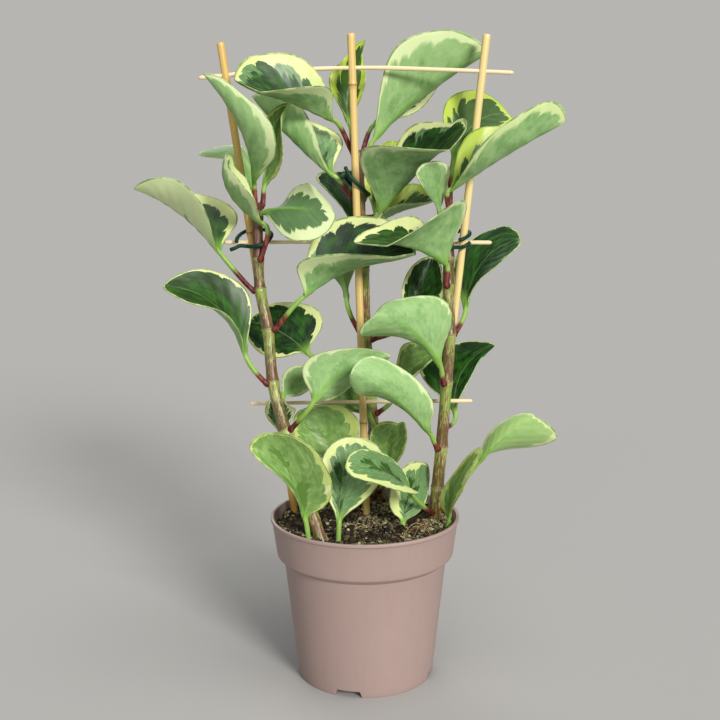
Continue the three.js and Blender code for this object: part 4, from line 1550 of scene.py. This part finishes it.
@dataclass
class Leaf:
    """One leaf: its stalk's place, its midrib and two points on each rim, in mm, and its colouring.

    The widths of the cream margins are shares of the half blade, near its base, middle and tip, or
    one number where a margin is even. The place is a height on the stem, or a spot on the soil.
    """

    name: str
    place: float | tuple[float, float]
    midrib: tuple[Point, Point, Point]
    near_rim: tuple[Point, Point]
    far_rim: tuple[Point, Point]
    look: Look
    near_cream: float | Point
    far_cream: float | Point
    seed: float

    rim_stations = (0.35, 0.75)
    station_reach = (-0.3, 1.15)
    cream_stations = (0.1, 0.5, 0.9)
    widest = 0.6
    base_power = 1.5
    creased = 0.25
    wave_high = 0.45
    blade_half = 0.42
    edge_half = 0.26
    blade_top = 0.9985
    grown_by = 0.10
    keel_high, keel_wide, keel_end = 1.15, 1.7, 0.72
    groove_deep, groove_wide = 0.22, 0.7
    vein_high, vein_count, vein_slant = 0.14, 6.5, 0.4
    stalk_stem = 1.65
    stalk_blade = 1.5
    stalk_root = 84.0
    stalk_top = 100.0
    stalk_sunk = 1.2
    stalk_clear = 0.3
    stalk_turn = math.radians(84.0)
    flare_high, flare_reach = 0.55, 1.6
    fade_end = 0.14
    leave = 6.0
    leave_share = 0.35
    meet_share = 0.3
    lean = 4.0
    buried = 8.0
    columns = 27
    blade_rows = 58
    stalk_rows = 18

    @property
    def from_soil(self) -> bool:
        """Whether the stalk comes straight out of the soil."""
        return isinstance(self.place, tuple)

    def profile(self, u: Array) -> Array:
        """Half width along the midrib as a share of the widest: pointed base, round tip.

        Args:
            u: Shares of the midrib.

        Returns:
            A share of the widest for each.
        """
        x = np.clip(u / self.widest, 0.0, 1.0)
        y = np.clip((u - self.widest) / (1.0 - self.widest), 0.0, 1.0)
        base = x**self.base_power * (1.0 + self.base_power * (1.0 - x))
        return np.where(u < self.widest, base, np.sqrt(np.clip(1.0 - y * y, 0.0, 1.0)))

    def rib(self, u: Array | float) -> Array:
        """Places on the midrib: a quadratic curve through its middle point.

        Args:
            u: Shares of the midrib.

        Returns:
            A place in mm for each.
        """
        base, middle, tip = (np.array(point, float) for point in self.midrib)
        bend = 2.0 * middle - 0.5 * (base + tip)
        u = np.asarray(u)[..., None]
        return (1 - u) ** 2 * base + 2 * u * (1 - u) * bend + u * u * tip

    def reaches(self) -> tuple[Array, Array, bool]:
        """How far each rim stands from the midrib at the two stations, for a full width.

        The left rim comes first as seen on the upper side, which is the hollow one. The last
        value says whether that is the far one.

        Returns:
            Two reaches of the left rim, two of the right one, and that value.
        """
        u = np.array(self.rim_stations)
        wide = self.profile(u)[:, None]
        rims = [(np.array(rim) - self.rib(u)) / wide for rim in (self.near_rim, self.far_rim)]
        across = (rims[1] - rims[0]).sum(axis=0)
        lift = (rims[1] + rims[0]).sum(axis=0)
        swapped = bool(np.cross(self.rib(0.51) - self.rib(0.49), across) @ lift < 0)
        if swapped:
            rims.reverse()
        return rims[0], rims[1], swapped

    def margin(self, u: Array, v: Array) -> Array:
        """Width of the cream margin at u on the side of v, as a share of the half blade.

        Each rim's three widths are joined along u, and the two sides melt together over the
        middle fifth of the blade.

        Args:
            u: Shares of the midrib.
            v: Places across, from -1 to 1.

        Returns:
            A width for each.
        """
        creams = (np.broadcast_to(cream, 3) for cream in (self.near_cream, self.far_cream))
        near, far = (np.interp(u, self.cream_stations, cream) for cream in creams)
        if self.reaches()[2]:
            near, far = far, near
        return near + (far - near) * smooth(-0.1, 0.1, v)

    def surface(self, u: Array, v: Array) -> Array:
        """The blade's middle surface: u along the midrib, v from -1 at one rim to 1 at the other.

        The rims' reaches are blended along u and scaled by the profile. Their half difference
        carries v straight across, and their half sum carries the rise, part square and part
        creased at the midrib. A low ripple along the rims is added.

        Args:
            u: Shares of the midrib.
            v: Places across, from -1 to 1.

        Returns:
            A place in mm for each.
        """
        first, second, _ = self.reaches()
        low, high = self.rim_stations
        share = np.clip((u - low) / (high - low), *self.station_reach)[..., None]
        wide = self.profile(u)[..., None]
        left = (first[0] + (first[1] - first[0]) * share) * wide
        right = (second[0] + (second[1] - second[0]) * share) * wide
        rise = ((1 - self.creased) * v * v + self.creased * np.sqrt(v * v + 0.004))[..., None]
        flat = self.rib(u) + (right - left) * v[..., None] / 2 + (right + left) * rise / 2
        wave = np.sin(TURN * (2.3 * u + 0.37 * v + 5.1 * self.seed)) * v**2 * np.clip(4 * (1 - u), 0, 1)
        up = unit(np.cross(right - left, self.rib(u + 0.01) - self.rib(u)))
        return flat + self.wave_high * wave[..., None] * up

    def stalk_start(self) -> tuple[Array, Array, Array]:
        """Foot, root and first heading of the stalk, in mm.

        Returns:
            Two places and a unit heading.
        """
        if self.from_soil:
            foot, root = (np.array([*self.place, height]) for height in (self.stalk_root, self.stalk_top))
            return foot, root, np.array([0.0, 0.0, 1.0])
        stem = STEMS[self.name.split("_")[0]]
        centre = stem.at(self.place)
        along = unit(stem.at(self.place + 1.0) - stem.at(self.place - 1.0))
        out = np.array(self.midrib[0], float) - centre
        out = unit(out - (out @ along) * along)
        reach = float(stem.radius(np.array(self.place)))
        return centre + out * (reach - self.stalk_sunk), centre + out * (reach + self.stalk_clear), out

    def side(self) -> Array:
        """The heading across the blade at its base, square to the midrib.

        Returns:
            A unit heading.
        """
        first, second, _ = self.reaches()
        tangent = unit(self.rib(0.01) - self.rib(0.0))
        across = unit(second[0] - first[0])
        return unit(across - (across @ tangent) * tangent)

    def stalk(self, spread: Array) -> tuple[Array, Array, Array]:
        """The round stalk, which leaves its root along its heading and runs into the midrib's line.

        It is a cubic curve with a handle at each end, and it flares at the root as a bell.

        Args:
            spread: Place of each column, from -1 at one rim to 1 at the other.

        Returns:
            Upper rows and lower rows, in mm, and the share of the way along at each row.
        """
        foot, root, out = self.stalk_start()
        base = self.rib(0.0)
        tangent = unit(self.rib(0.01) - base)
        leave = min(self.leave, self.leave_share * float(np.linalg.norm(base - root)))
        out = unit(out + unit(base - root) * self.lean)
        if self.from_soil:
            root = root - np.array([0.0, 0.0, self.buried])
        distance = float(np.linalg.norm(base - root))
        t = np.linspace(0.0, 1.0, self.stalk_rows)[:, None]
        handles = (root + out * leave, base - tangent * self.meet_share * distance)
        curve = (1 - t) ** 3 * root + 3 * t * (1 - t) ** 2 * handles[0] + 3 * t * t * (1 - t) * handles[1]
        path = np.vstack([foot, curve + t**3 * base])
        sides, normals = (rows[::-1, None] for rows in frames_along(path[::-1], self.side()))
        share = np.append(0.0, t)
        radius = self.stalk_stem + (self.stalk_blade - self.stalk_stem) * share
        radius = (radius + self.flare_high * bell(share * distance, self.flare_reach))[:, None, None]
        turn = (self.stalk_turn * spread)[:, None]
        over = path[:, None] + sides * radius * np.sin(turn)
        lift = -normals * radius * np.cos(turn)
        return (over + lift)[:-1], (over - lift)[:-1], share[:-1]

    def blade(self, spread: Array) -> tuple[Array, Array, Array]:
        """The blade: its middle surface with a thickness that swells to a keel below the midrib.

        Near the base it melts into the stalk's round section. Above the midrib runs a groove, and
        the veins are a low cosine of u - slant * |v|.

        Args:
            spread: Place of each column, from -1 at one rim to 1 at the other.

        Returns:
            Upper rows and lower rows, in mm, and the share of the midrib at each row.
        """
        s = np.linspace(0.0, 1.0, self.blade_rows)
        rows = np.minimum(0.5 * np.sin(s * math.pi / 2) + 0.5 * s, self.blade_top)
        u, v = np.meshgrid(rows, spread, indexing="ij")
        fade = np.clip(1.0 - u / self.fade_end, 0.0, 1.0)
        round_part = self.stalk_blade * fade
        side = self.side()

        def middle_at(a: Array, b: Array) -> Array:
            """The middle surface with the stalk's own width added near the base."""
            return self.surface(a, b) + side * (round_part * np.sin(self.stalk_turn * b))[..., None]

        a = np.clip(u, 0.012, 0.985)
        ahead = middle_at(a + 0.006, v) - middle_at(a - 0.006, v)
        normal = unit(np.cross(ahead, middle_at(a, v + 0.01) - middle_at(a, v - 0.01)))
        grown = np.minimum(1.0, u / self.grown_by)
        thick = grown * (self.blade_half + (self.edge_half - self.blade_half) * v**4)
        half = thick + round_part * np.cos(self.stalk_turn * v)
        away = np.abs(v) * self.width(u)
        lessening = np.clip(1.0 - u / self.keel_end, 0.0, 1.0)
        keel = self.keel_high * lessening * bell(away, self.keel_wide) * (1.0 - fade)
        groove = self.groove_deep * (1.0 - u) * bell(away, self.groove_wide) * (1.0 - fade)
        inside = np.clip(1 - v**4, 0, 1) * np.clip(4 * (1 - u), 0, 1) * grown
        vein = self.vein_high * np.cos(TURN * self.vein_count * (u - self.vein_slant * np.abs(v))) * inside
        middle = middle_at(u, v)
        upper = middle + normal * (half - groove + vein)[..., None]
        return upper, middle - normal * (half + keel - vein)[..., None], rows

    def skin(self) -> Skin:
        """Stalk and blade as one closed skin, with the numbers that its finish reads.

        Each ring runs along the lower side, round a rim that stands half a thickness out, back
        along the upper side and round the other rim.

        Returns:
            The closed skin.
        """
        even = np.linspace(-1, 1, self.columns)
        spread = np.sin(even * math.pi / 2) * 0.35 + even * 0.65
        stalk_top, stalk_low, share = self.stalk(spread)
        blade_top, blade_low, rows = self.blade(spread)
        top, low = np.vstack([stalk_top, blade_top]), np.vstack([stalk_low, blade_low])
        ends, next_ends = [0, -1], [1, -2]
        thick = np.linalg.norm(top[:, ends] - low[:, ends], axis=-1, keepdims=True)
        rim = 0.5 * (top[:, ends] + low[:, ends]) + unit(top[:, ends] - top[:, next_ends]) * 0.5 * thick
        rings = np.concatenate([low, rim[:, 1:], top[:, ::-1], rim[:, :1]], axis=1) * MM

        round_v = np.concatenate([spread, [1.0], spread[::-1], [-1.0]])
        under = np.concatenate([np.ones(self.columns), [0.5], np.zeros(self.columns), [0.5]])
        along, across = np.broadcast_arrays(np.append(share - 1.0, rows)[:, None], round_v)
        tint = self.look.value
        flat = {"seed": self.seed, "dark": tint.dark, "lime": tint.lime, "pale": tint.pale, "under": under}
        on_blade = np.maximum(along, 0.0)
        blush = self.blush()
        values = {name: np.broadcast_to(value, along.shape) for name, value in flat.items()} | {
            "along": on_blade,
            "across": across,
            "cream": self.margin(on_blade, across),
            "stalk": np.clip(1.0 - along / 0.05, 0.0, 1.0),
            "blush": 1.0 - smooth(blush - 1.3, blush - 0.75, along),
        }
        return Skin.from_rings(rings, values)

    def blush(self) -> float:
        """Share of the stalk that is burgundy: none from the soil, more on the higher leaves."""
        return -0.5 if self.from_soil else 0.44 + 0.28 * float(smooth(180.0, 300.0, np.array(self.place)))

    def width(self, u: Array) -> Array:
        """Half width of the blade at u, in mm."""
        first, second, _ = self.reaches()
        return np.linalg.norm((second - first).mean(axis=0)) / 2 * self.profile(u)


LEAVES: tuple[Leaf, ...] = (
    Leaf("left_1", 162, ((-31, -24, 183), (-12, -20, 201), (16, -14, 210)), ((-19, -14, 183), (2, -8, 199)),
         ((-38, -12, 201), (-15, -8, 213)), Look.SAGE, (0.12, 0.1, 0.08), (0.18, 0.14, 0.08), 0.98),
    Leaf("left_2", 165, ((-52, 4, 155), (-54, 11, 168), (-56, 14, 180)), ((-62, 8, 166), (-61, 12, 176)),
         ((-45, 10, 168), (-48, 12, 173)), Look.MIXED, 0.2, (0.3, 0.3, 0.2), 0.16),
    Leaf("left_3", 178, ((-52, 3, 180), (-44, 17, 187), (-34, 30, 192)), ((-46, 7, 180), (-35, 22, 182)),
         ((-52, 13, 192), (-42, 30, 196)), Look.SAGE, 0.15, 0.15, 0.81),
    Leaf("left_4", 191, ((-73, -6, 208), (-92, -4, 240), (-122, -12, 253)),
         ((-79, -24, 234), (-101, -22, 243)), ((-71, 8, 240), (-96, 4, 261)), Look.GREEN, (0.06, 0.08, 0.05),
         (0.06, 0.06, 0.05), 0.03),
    Leaf("left_5", 223, ((-38, 0, 244), (-7, 4, 261), (32, -2, 271)), ((-37, -12, 268), (9, -18, 271)),
         ((-30, 10, 281), (9, 12, 292)), Look.DEEP, (0.2, 0.18, 0.08), (0.08, 0.12, 0.05), 0.50),
    Leaf("left_6", 248, ((-89, 8, 271), (-114, 14, 295), (-140, 2, 311)), ((-96, -10, 299), (-115, -8, 317)),
         ((-80, 26, 294), (-113, 32, 308)), Look.GREEN, (0.8, 0.85, 0.9), (0.12, 0.22, 0.45), 0.72),
    Leaf("left_7", 267, ((-61, 4, 289), (-82, -4, 310), (-82, -6, 332)), ((-66, -16, 306), (-79, -14, 322)),
         ((-68, 4, 309), (-77, 2, 323)), Look.SAGE, (0.2, 0.2, 0.3), (0.25, 0.3, 0.3), 0.94),
    Leaf("left_8", 292, ((-62, 6, 296), (-40, -6, 299), (-17, -14, 295)), ((-50, -12, 285), (-31, -21, 281)),
         ((-49, 12, 303), (-35, -3, 314)), Look.SHADED, (0.1, 0.2, 0.5), (0.1, 0.25, 0.55), 0.88),
    Leaf("left_9", 296, ((-70, 28, 308), (-81, 38, 329), (-106, 46, 332)), ((-76, 31, 318), (-88, 36, 328)),
         ((-75, 48, 333), (-92, 56, 337)), Look.SAGE, 0.1, 0.1, 0.57),
    Leaf("left_10", 299, ((-67, 8, 314), (-72, -14, 345), (-94, -8, 378)), ((-51, -20, 335), (-68, -22, 364)),
         ((-65, 15, 337), (-78, 8, 365)), Look.SAGE, (0.15, 0.2, 0.12), (0.08, 0.08, 0.05), 0.78),
    Leaf("left_11", 300, ((-62, 18, 311), (-56, 22, 337), (-45, 16, 362)), ((-51, 10, 323), (-50, 12, 351)),
         ((-63, 24, 334), (-59, 22, 354)), Look.FRESH, (0.15, 0.15, 0.1), (0.3, 0.2, 0.1), 0.48),
    Leaf("middle_1", 104, ((-16, 8, 133), (-27, 14, 154), (-40, 20, 169)), ((-37, 3, 146), (-45, 6, 160)),
         ((-5, 2, 153), (-11, 12, 171)), Look.FRESH, (0.1, 0.14, 0.14), (0.1, 0.2, 0.16), 0.80),
    Leaf("middle_2", 108, ((14, 22, 123), (16, 26, 140), (22, 24, 158)), ((6, 25, 139), (6, 26, 155)),
         ((24, 14, 139), (27, 16, 156)), Look.FRESH, (0.06, 0.08, 0.08), (0.05, 0.08, 0.07), 0.59),
    Leaf("middle_3", 120, ((1, 66, 121), (-10, 84, 122), (-19, 102, 120)), ((-6, 78, 107), (-25, 98, 106)),
         ((-10, 72, 138), (-22, 92, 139)), Look.MIXED, (0.2, 0.25, 0.2), (0.2, 0.25, 0.2), 0.84),
    Leaf("middle_4", 147, ((5, 33, 158), (-11, 35, 174), (-28, 34, 185)), ((-8, 30, 165), (-24, 28, 173)),
         ((1, 27, 183), (-16, 35, 193)), Look.FRESH, (0.1, 0.12, 0.1), (0.1, 0.12, 0.1), 0.26),
    Leaf("middle_5", 162, ((18, 30, 172), (28, 20, 189), (46, 18, 204)), ((24, 12, 185), (38, 10, 199)),
         ((21, 28, 198), (31, 30, 211)), Look.FRESH, (0.1, 0.12, 0.1), (0.1, 0.12, 0.1), 0.59),
    Leaf("middle_6", 172, ((8, 60, 177), (12, 84, 177), (16, 108, 174)), ((-7, 70, 182), (-8, 94, 185)),
         ((29, 70, 181), (33, 94, 183)), Look.MIXED, (0.2, 0.25, 0.2), (0.2, 0.25, 0.2), 0.65),
    Leaf("middle_7", 204, ((-36, 28, 204), (-56, 36, 218), (-77, 44, 223)), ((-52, 29, 202), (-70, 35, 205)),
         ((-27, 32, 226), (-52, 42, 236)), Look.DEEP, 0.12, (0.12, 0.2, 0.15), 0.21),
    Leaf("middle_8", 212, ((25, 30, 222), (36, 40, 243), (45, 48, 265)), ((47, 30, 235), (52, 38, 253)),
         ((25, 32, 238), (29, 38, 256)), Look.DEEP, 0.1, (0.12, 0.16, 0.1), 0.50),
    Leaf("middle_9", 218, ((-11, 30, 239), (-13, 36, 254), (-18, 44, 271)), ((-18, 38, 251), (-25, 46, 262)),
         ((-8, 44, 252), (-5, 54, 264)), Look.SAGE, 0.05, 0.05, 0.79),
    Leaf("middle_10", 257, ((2, 48, 264), (-1, 74, 270), (-4, 102, 270)), ((-20, 62, 271), (-24, 88, 279)),
         ((21, 62, 268), (20, 88, 276)), Look.MIXED, (0.2, 0.25, 0.2), (0.2, 0.25, 0.2), 0.30),
    Leaf("middle_11", 272, ((-7, 32, 285), (-10, 44, 304), (-18, 62, 320)), ((-18, 36, 303), (-30, 48, 316)),
         ((2, 38, 302), (3, 52, 318)), Look.DEEP, 0.06, 0.06, 0.63),
    Leaf("middle_12", 278, ((11, 36, 290), (27, 46, 296), (48, 52, 302)), ((16, 26, 298), (39, 36, 301)),
         ((22, 48, 307), (39, 60, 311)), Look.LIMED, 0.1, (0.35, 0.4, 0.3), 0.97),
    Leaf("middle_13", 285, ((10, 22, 295), (34, 10, 320), (62, -2, 347)), ((-1, -4, 332), (43, -20, 333)),
         ((22, 24, 339), (50, 10, 350)), Look.DEEP, (0.1, 0.06, 0.04), (0.08, 0.1, 0.1), 0.04),
    Leaf("middle_14", 291, ((8, 36, 294), (8, 44, 318), (19, 50, 340)), ((2, 38, 308), (3, 40, 329)),
         ((15, 46, 309), (26, 54, 329)), Look.LIMED, (0.5, 0.5, 0.4), (0.5, 0.5, 0.4), 0.53),
    Leaf("middle_15", 303, ((-18, 22, 318), (-47, 24, 343), (-70, 40, 368)), ((-29, 14, 341), (-43, 30, 366)),
         ((-14, 34, 342), (-47, 44, 355)), Look.SAGE, 0.1, 0.1, 0.50),
    Leaf("middle_16", 331, ((7, 47, 350), (28, 66, 368), (50, 88, 384)), ((14, 62, 366), (34, 76, 384)),
         ((29, 58, 356), (47, 76, 371)), Look.MIXED, (0.2, 0.25, 0.2), (0.2, 0.25, 0.2), 0.49),
    Leaf("middle_17", 326, ((6, 30, 339), (39, 38, 370), (79, 36, 394)), ((13, 26, 381), (42, 28, 406)),
         ((33, 56, 366), (62, 58, 389)), Look.SAGE, (0.08, 0.14, 0.16), (0.06, 0.06, 0.08), 0.77),
    Leaf("middle_18", 330, ((-8, 34, 350), (-9, 42, 373), (1, 50, 403)), ((-20, 34, 372), (-15, 38, 387)),
         ((1, 38, 373), (0, 54, 394)), Look.LIMED, (0.35, 0.4, 0.2), (0.3, 0.3, 0.2), 0.63),
    Leaf("middle_19", 332, ((-18, 20, 352), (-44, 4, 362), (-76, -6, 375)), ((-21, -2, 370), (-53, -20, 367)),
         ((-27, 14, 380), (-58, 8, 391)), Look.BRIGHT, (0.15, 0.2, 0.15), (0.22, 0.2, 0.16), 0.92),
    Leaf("right_1", 104, ((29, -20, 123), (11, -42, 145), (-11, -53, 153)), ((30, -46, 132), (-1, -62, 145)),
         ((23, -22, 140), (2, -42, 158)), Look.GREY, (0.25, 0.3, 0.2), (0.03, 0.04, 0.05), 0.36),
    Leaf("right_2", 107, ((73, 0, 139), (87, -6, 155), (107, -6, 169)), ((89, 8, 144), (120, 6, 150)),
         ((78, 6, 153), (94, 4, 167)), Look.FRESH, (0.12, 0.15, 0.12), (0.12, 0.15, 0.12), 0.08),
    Leaf("right_3", 147, ((41, -8, 159), (16, -34, 189), (-8, -44, 205)), ((18, -14, 181), (-2, -32, 189)),
         ((41, -18, 183), (11, -32, 211)), Look.SAGE, (0.04, 0.05, 0.03), (0.04, 0.08, 0.06), 0.34),
    Leaf("right_4", 158, ((60, 30, 163), (65, 38, 189), (86, 38, 208)), ((67, 32, 182), (78, 36, 200)),
         ((38, 46, 187), (56, 58, 204)), Look.DEEP, 0.06, 0.06, 0.32),
    Leaf("right_5", 189, ((47, -6, 202), (27, -26, 228), (6, -34, 237)), ((27, -10, 220), (0, -26, 224)),
         ((53, -8, 237), (24, -20, 246)), Look.SAGE, (0.04, 0.05, 0.05), (0.04, 0.05, 0.05), 0.64),
    Leaf("right_6", 200, ((44, 22, 213), (36, 50, 217), (30, 80, 212)), ((26, 36, 219), (20, 62, 222)),
         ((52, 44, 220), (48, 70, 221)), Look.MIXED, (0.2, 0.25, 0.2), (0.2, 0.25, 0.2), 0.82),
    Leaf("right_7", 219, ((65, 20, 233), (77, 34, 262), (102, 40, 277)), ((72, 20, 250), (90, 26, 265)),
         ((59, 38, 261), (86, 52, 283)), Look.DEEP, 0.02, 0.02, 0.24),
    Leaf("right_8", 250, ((51, 4, 264), (27, -16, 276), (-6, -30, 280)), ((62, -6, 302), (22, -40, 283)),
         ((36, 6, 290), (13, -14, 290)), Look.GREEN, (0.05, 0.05, 0.08), (0.18, 0.2, 0.28), 0.46),
    Leaf("right_9", 285, ((47, 8, 293), (44, 3, 311), (39, -5, 326)), ((40, 0, 306), (32, -9, 318)),
         ((52, 20, 309), (53, 18, 323)), Look.MIXED, 0.1, 0.2, 0.64),
    Leaf("right_10", 295, ((53, 8, 309), (85, 0, 329), (120, -8, 349)), ((68, -14, 333), (103, -12, 359)),
         ((61, 9, 339), (94, 12, 348)), Look.LIMED, (0.1, 0.1, 0.18), (0.3, 0.3, 0.2), 0.42),
    Leaf("right_11", 296, ((57, 28, 327), (71, 38, 350), (93, 42, 356)), ((72, 26, 334), (91, 34, 347)),
         ((51, 36, 357), (72, 48, 371)), Look.LIMED, (0.22, 0.3, 0.25), (0.22, 0.28, 0.2), 0.14),
    Leaf("soil_1", (-34, -37), ((-36, -40, 114), (-44, -44, 143), (-55, -52, 171)),
         ((-21, -48, 129), (-29, -54, 160)), ((-47, -52, 141), (-66, -55, 160)), Look.FRESH,
         (0.08, 0.12, 0.06), (0.04, 0.06, 0.06), 0.78),
    Leaf("soil_2", (-17, -33), ((-16, -34, 110), (-14, -28, 135), (-8, -20, 160)),
         ((2, -33, 126), (11, -24, 148)), ((-24, -32, 128), (-25, -26, 150)), Look.GREY, (0.15, 0.2, 0.3),
         (0.3, 0.5, 0.4), 0.66),
    Leaf("soil_3", (25, -15), ((24, -10, 102), (28, -2, 116), (36, 8, 136)), ((16, -12, 113), (21, -6, 132)),
         ((36, -4, 109), (42, 14, 125)), Look.GREY, (0.5, 0.5, 0.35), (0.05, 0.05, 0.08), 0.25),
    Leaf("soil_4", (49, -12), ((53, -10, 103), (57, -16, 129), (72, -20, 153)),
         ((57, -24, 121), (65, -28, 140)), ((48, -4, 115), (61, -10, 141)), Look.FRESH, (0.3, 0.35, 0.3),
         (0.35, 0.4, 0.3), 0.28),
)


def build_foliage() -> None:
    """Every stem and every leaf as a piece of its own."""
    skin = StemSkin().material()
    for side, stem in STEMS.items():
        stem.skin().place(f"plant_stem_{side}", skin, "stem_skin", f"stem_{side}")
    blade = LeafSkin().material()
    for leaf in LEAVES:
        leaf.skin().place(f"blade_{leaf.name}", blade, "leaf_blade", f"leaf_{leaf.name}")


# Ties


@dataclass
class Tie:
    """A coated wire laid round a cane and the stem beside it, as points along it in mm."""

    name: str
    points: tuple[Point, ...]
    wire: float = 1.22
    steps: int = 220
    sides: int = 16

    def build(self, material: Material) -> None:
        """The wire as one slightly uneven piece with rounded ends."""
        path = smooth_path(np.array(self.points, float), self.steps) * MM
        radius = (self.wire + 0.03 * ripple(path, 0.004, 5)) * blunt(self.steps, 0.5, 0.9) * MM
        wire = round_tube(path, radius, self.sides)
        wire.place(f"wire_tie_{self.name}", material, "tie_wire", f"tie_{self.name}")


TIES: tuple[Tie, ...] = (
    Tie("left", (
        (-82.9, 7, 273.2), (-79.7, 7, 274.4), (-76.8, 8.6, 275.6), (-73.2, 10, 275.3),
        (-69.2, 7.4, 275.2), (-65, 6, 275.9), (-61.4, 7.4, 277.1), (-58.9, 11.5, 278.9),
        (-57.7, 16.5, 282.3), (-61.6, 22, 284.5), (-67.5, 24.5, 284.7), (-73.1, 23.8, 284.2),
        (-76.9, 20, 282.5), (-79.1, 15.5, 280), (-79.4, 13, 277.4),
    )),
    Tie("middle", (
        (-11.2, 15.5, 323.8), (-9.1, 14.8, 319.2), (-6.3, 14.6, 315.8), (-2.9, 15.4, 312.4),
        (0.2, 20, 309.2), (3, 26.5, 306.9), (3.6, 32.8, 306.1), (0.6, 38, 306.9), (-5.5, 38.5, 310.8),
        (-9.9, 33, 315.3), (-11.4, 25, 317.9), (-11.9, 17.5, 318.3), (-13.1, 14, 316.8),
    )),
    Tie("right", (
        (59.4, 13.6, 278.1), (62.2, 13.6, 278.8), (66.2, 17.2, 280.7), (66.9, 21.8, 282.4),
        (62.6, 25, 283.4), (57.7, 23, 282.2), (53, 19.5, 280.6), (48.1, 17.5, 278.6),
        (45.5, 11.5, 276.5), (47.6, 5.4, 274.1), (52.2, 4.4, 273.6), (57, 7, 274.1), (61, 12.8, 273.6),
        (64.9, 14.8, 274.9), (66.9, 16.4, 276.5),
    )),
)

# Studio


@dataclass(frozen=True)
class Lamp:
    """A far soft lamp: its side seen from the plant, strength (W/m2), width (degrees) and tint."""

    name: str
    side: Point
    strength: float
    width_deg: float
    tint: Point

    def build(self) -> None:
        """Adds the lamp, which shines from its side toward the plant."""
        data = bpy.data.lights.new(self.name, "SUN")
        data.energy = self.strength
        data.angle = math.radians(self.width_deg)
        data.color = self.tint
        lamp = bpy.data.objects.new(self.name, data)
        lamp.location = self.side
        lamp.rotation_euler = (-Vector(self.side)).to_track_quat("-Z", "Y").to_euler()
        bpy.context.scene.collection.objects.link(lamp)

    def on_floor(self) -> np.ndarray:
        """Light that a level white floor sends back: tint * strength * sin(height angle) / pi."""
        return np.array(self.tint) * self.strength * Vector(self.side).normalized().z / math.pi


LAMPS = (
    Lamp("key", (0.88, -1.69, 0.88), 3.2, 17.0, (1.0, 0.985, 0.95)),
    Lamp("fill", (-0.5, -1.5, 0.5), 0.4, 34.0, (1.0, 1.0, 0.98)),
    Lamp("top", (0.2, -0.2, 1.35), 1.15, 34.0, (1.0, 1.0, 0.98)),
    Lamp("back", (-0.4, 1.5, 0.9), 1.0, 40.0, (1.0, 1.0, 1.0)),
)


@dataclass
class Studio:
    """Camera at the photograph's angle, an endless pale floor and soft light from the upper right."""

    focal_px: float = 1100.0
    frame_px: float = 720.0
    sensor_mm: float = 36.0
    pitch_deg: float = 10.08
    roll_deg: float = 0.32
    eye: Point = (-2.6, -677.0, 325.0)
    floor_half: float = 40.0
    floor_colour: Point = (0.4, 0.39, 0.375)
    sky: Point = (0.2, 0.21, 0.225)

    def camera(self) -> None:
        """The camera, from its place, its tilt down and its small roll."""
        data = bpy.data.cameras.new("camera")
        data.sensor_width = self.sensor_mm
        data.lens = self.focal_px / self.frame_px * self.sensor_mm
        data.clip_start = 0.01
        pitch, roll = math.radians(self.pitch_deg), math.radians(self.roll_deg)
        right = Vector((1.0, 0.0, 0.0))
        up = Vector((0.0, math.sin(pitch), math.cos(pitch)))
        ahead = Vector((0.0, math.cos(pitch), -math.sin(pitch)))
        image_x = right * math.cos(roll) - up * math.sin(roll)
        image_y = right * math.sin(roll) + up * math.cos(roll)
        turn = Matrix((image_x, image_y, -ahead)).transposed().to_4x4()
        camera = bpy.data.objects.new("camera", data)
        camera.matrix_world = Matrix.Translation(Vector(self.eye) * MM) @ turn
        bpy.context.scene.collection.objects.link(camera)
        bpy.context.scene.camera = camera

    def floor(self) -> None:
        """A level matt floor that runs on past the horizon on every side."""
        corners = self.floor_half * np.array([(-1, -1, 0), (1, -1, 0), (1, 1, 0), (-1, 1, 0)])
        paper = Finish("floor_paper").shade(
            Base_Color=(*self.floor_colour, 1.0), Roughness=1.0, Specular_IOR_Level=0.0
        )
        Skin(corners, np.array([[0, 1, 2, 3]])).build("floor", paper)

    def sky_light(self) -> None:
        """A plain sky that lights the plant, and that the camera sees in the floor's own tone.

        The tone is floor colour * (sum of the lamps on a level floor + sky), so no horizon shows.
        """
        world = bpy.data.worlds.new("studio")
        bpy.context.scene.world = world
        world.use_nodes = True
        graph = Graph(world.node_tree)
        tone = np.array(self.floor_colour) * (sum(lamp.on_floor() for lamp in LAMPS) + np.array(self.sky))
        light = graph.made("ShaderNodeBackground", {"Color": (*self.sky, 1.0)})
        seen = graph.made("ShaderNodeBackground", {"Color": (*tone.tolist(), 1.0)})
        camera_ray = graph.made("ShaderNodeLightPath", {}, "Is Camera Ray")
        blend = graph.made("ShaderNodeMixShader", {0: camera_ray, 1: light, 2: seen})
        graph.feed(world.node_tree.nodes["World Output"], {"Surface": blend})

    def build(self) -> None:
        """Camera, floor, sky and lamps."""
        self.camera()
        self.floor()
        self.sky_light()
        for lamp in LAMPS:
            lamp.build()
        bpy.context.scene.view_settings.view_transform = "Standard"
        bpy.context.scene.view_settings.look = "None"
        log.info("studio ready")


def main() -> None:
    """Builds the studio, the pot, the soil, the rack, the foliage and the ties in order."""
    log.info("frame: %d solids", len(frame["nodes"]))
    Studio().build()
    Pot().build(PotPlastic().material())
    Soil().build()
    Rack().build()
    build_foliage()
    wire = TieWire().material()
    for tie in TIES:
        tie.build(wire)


if __name__ == "__main__":
    main()
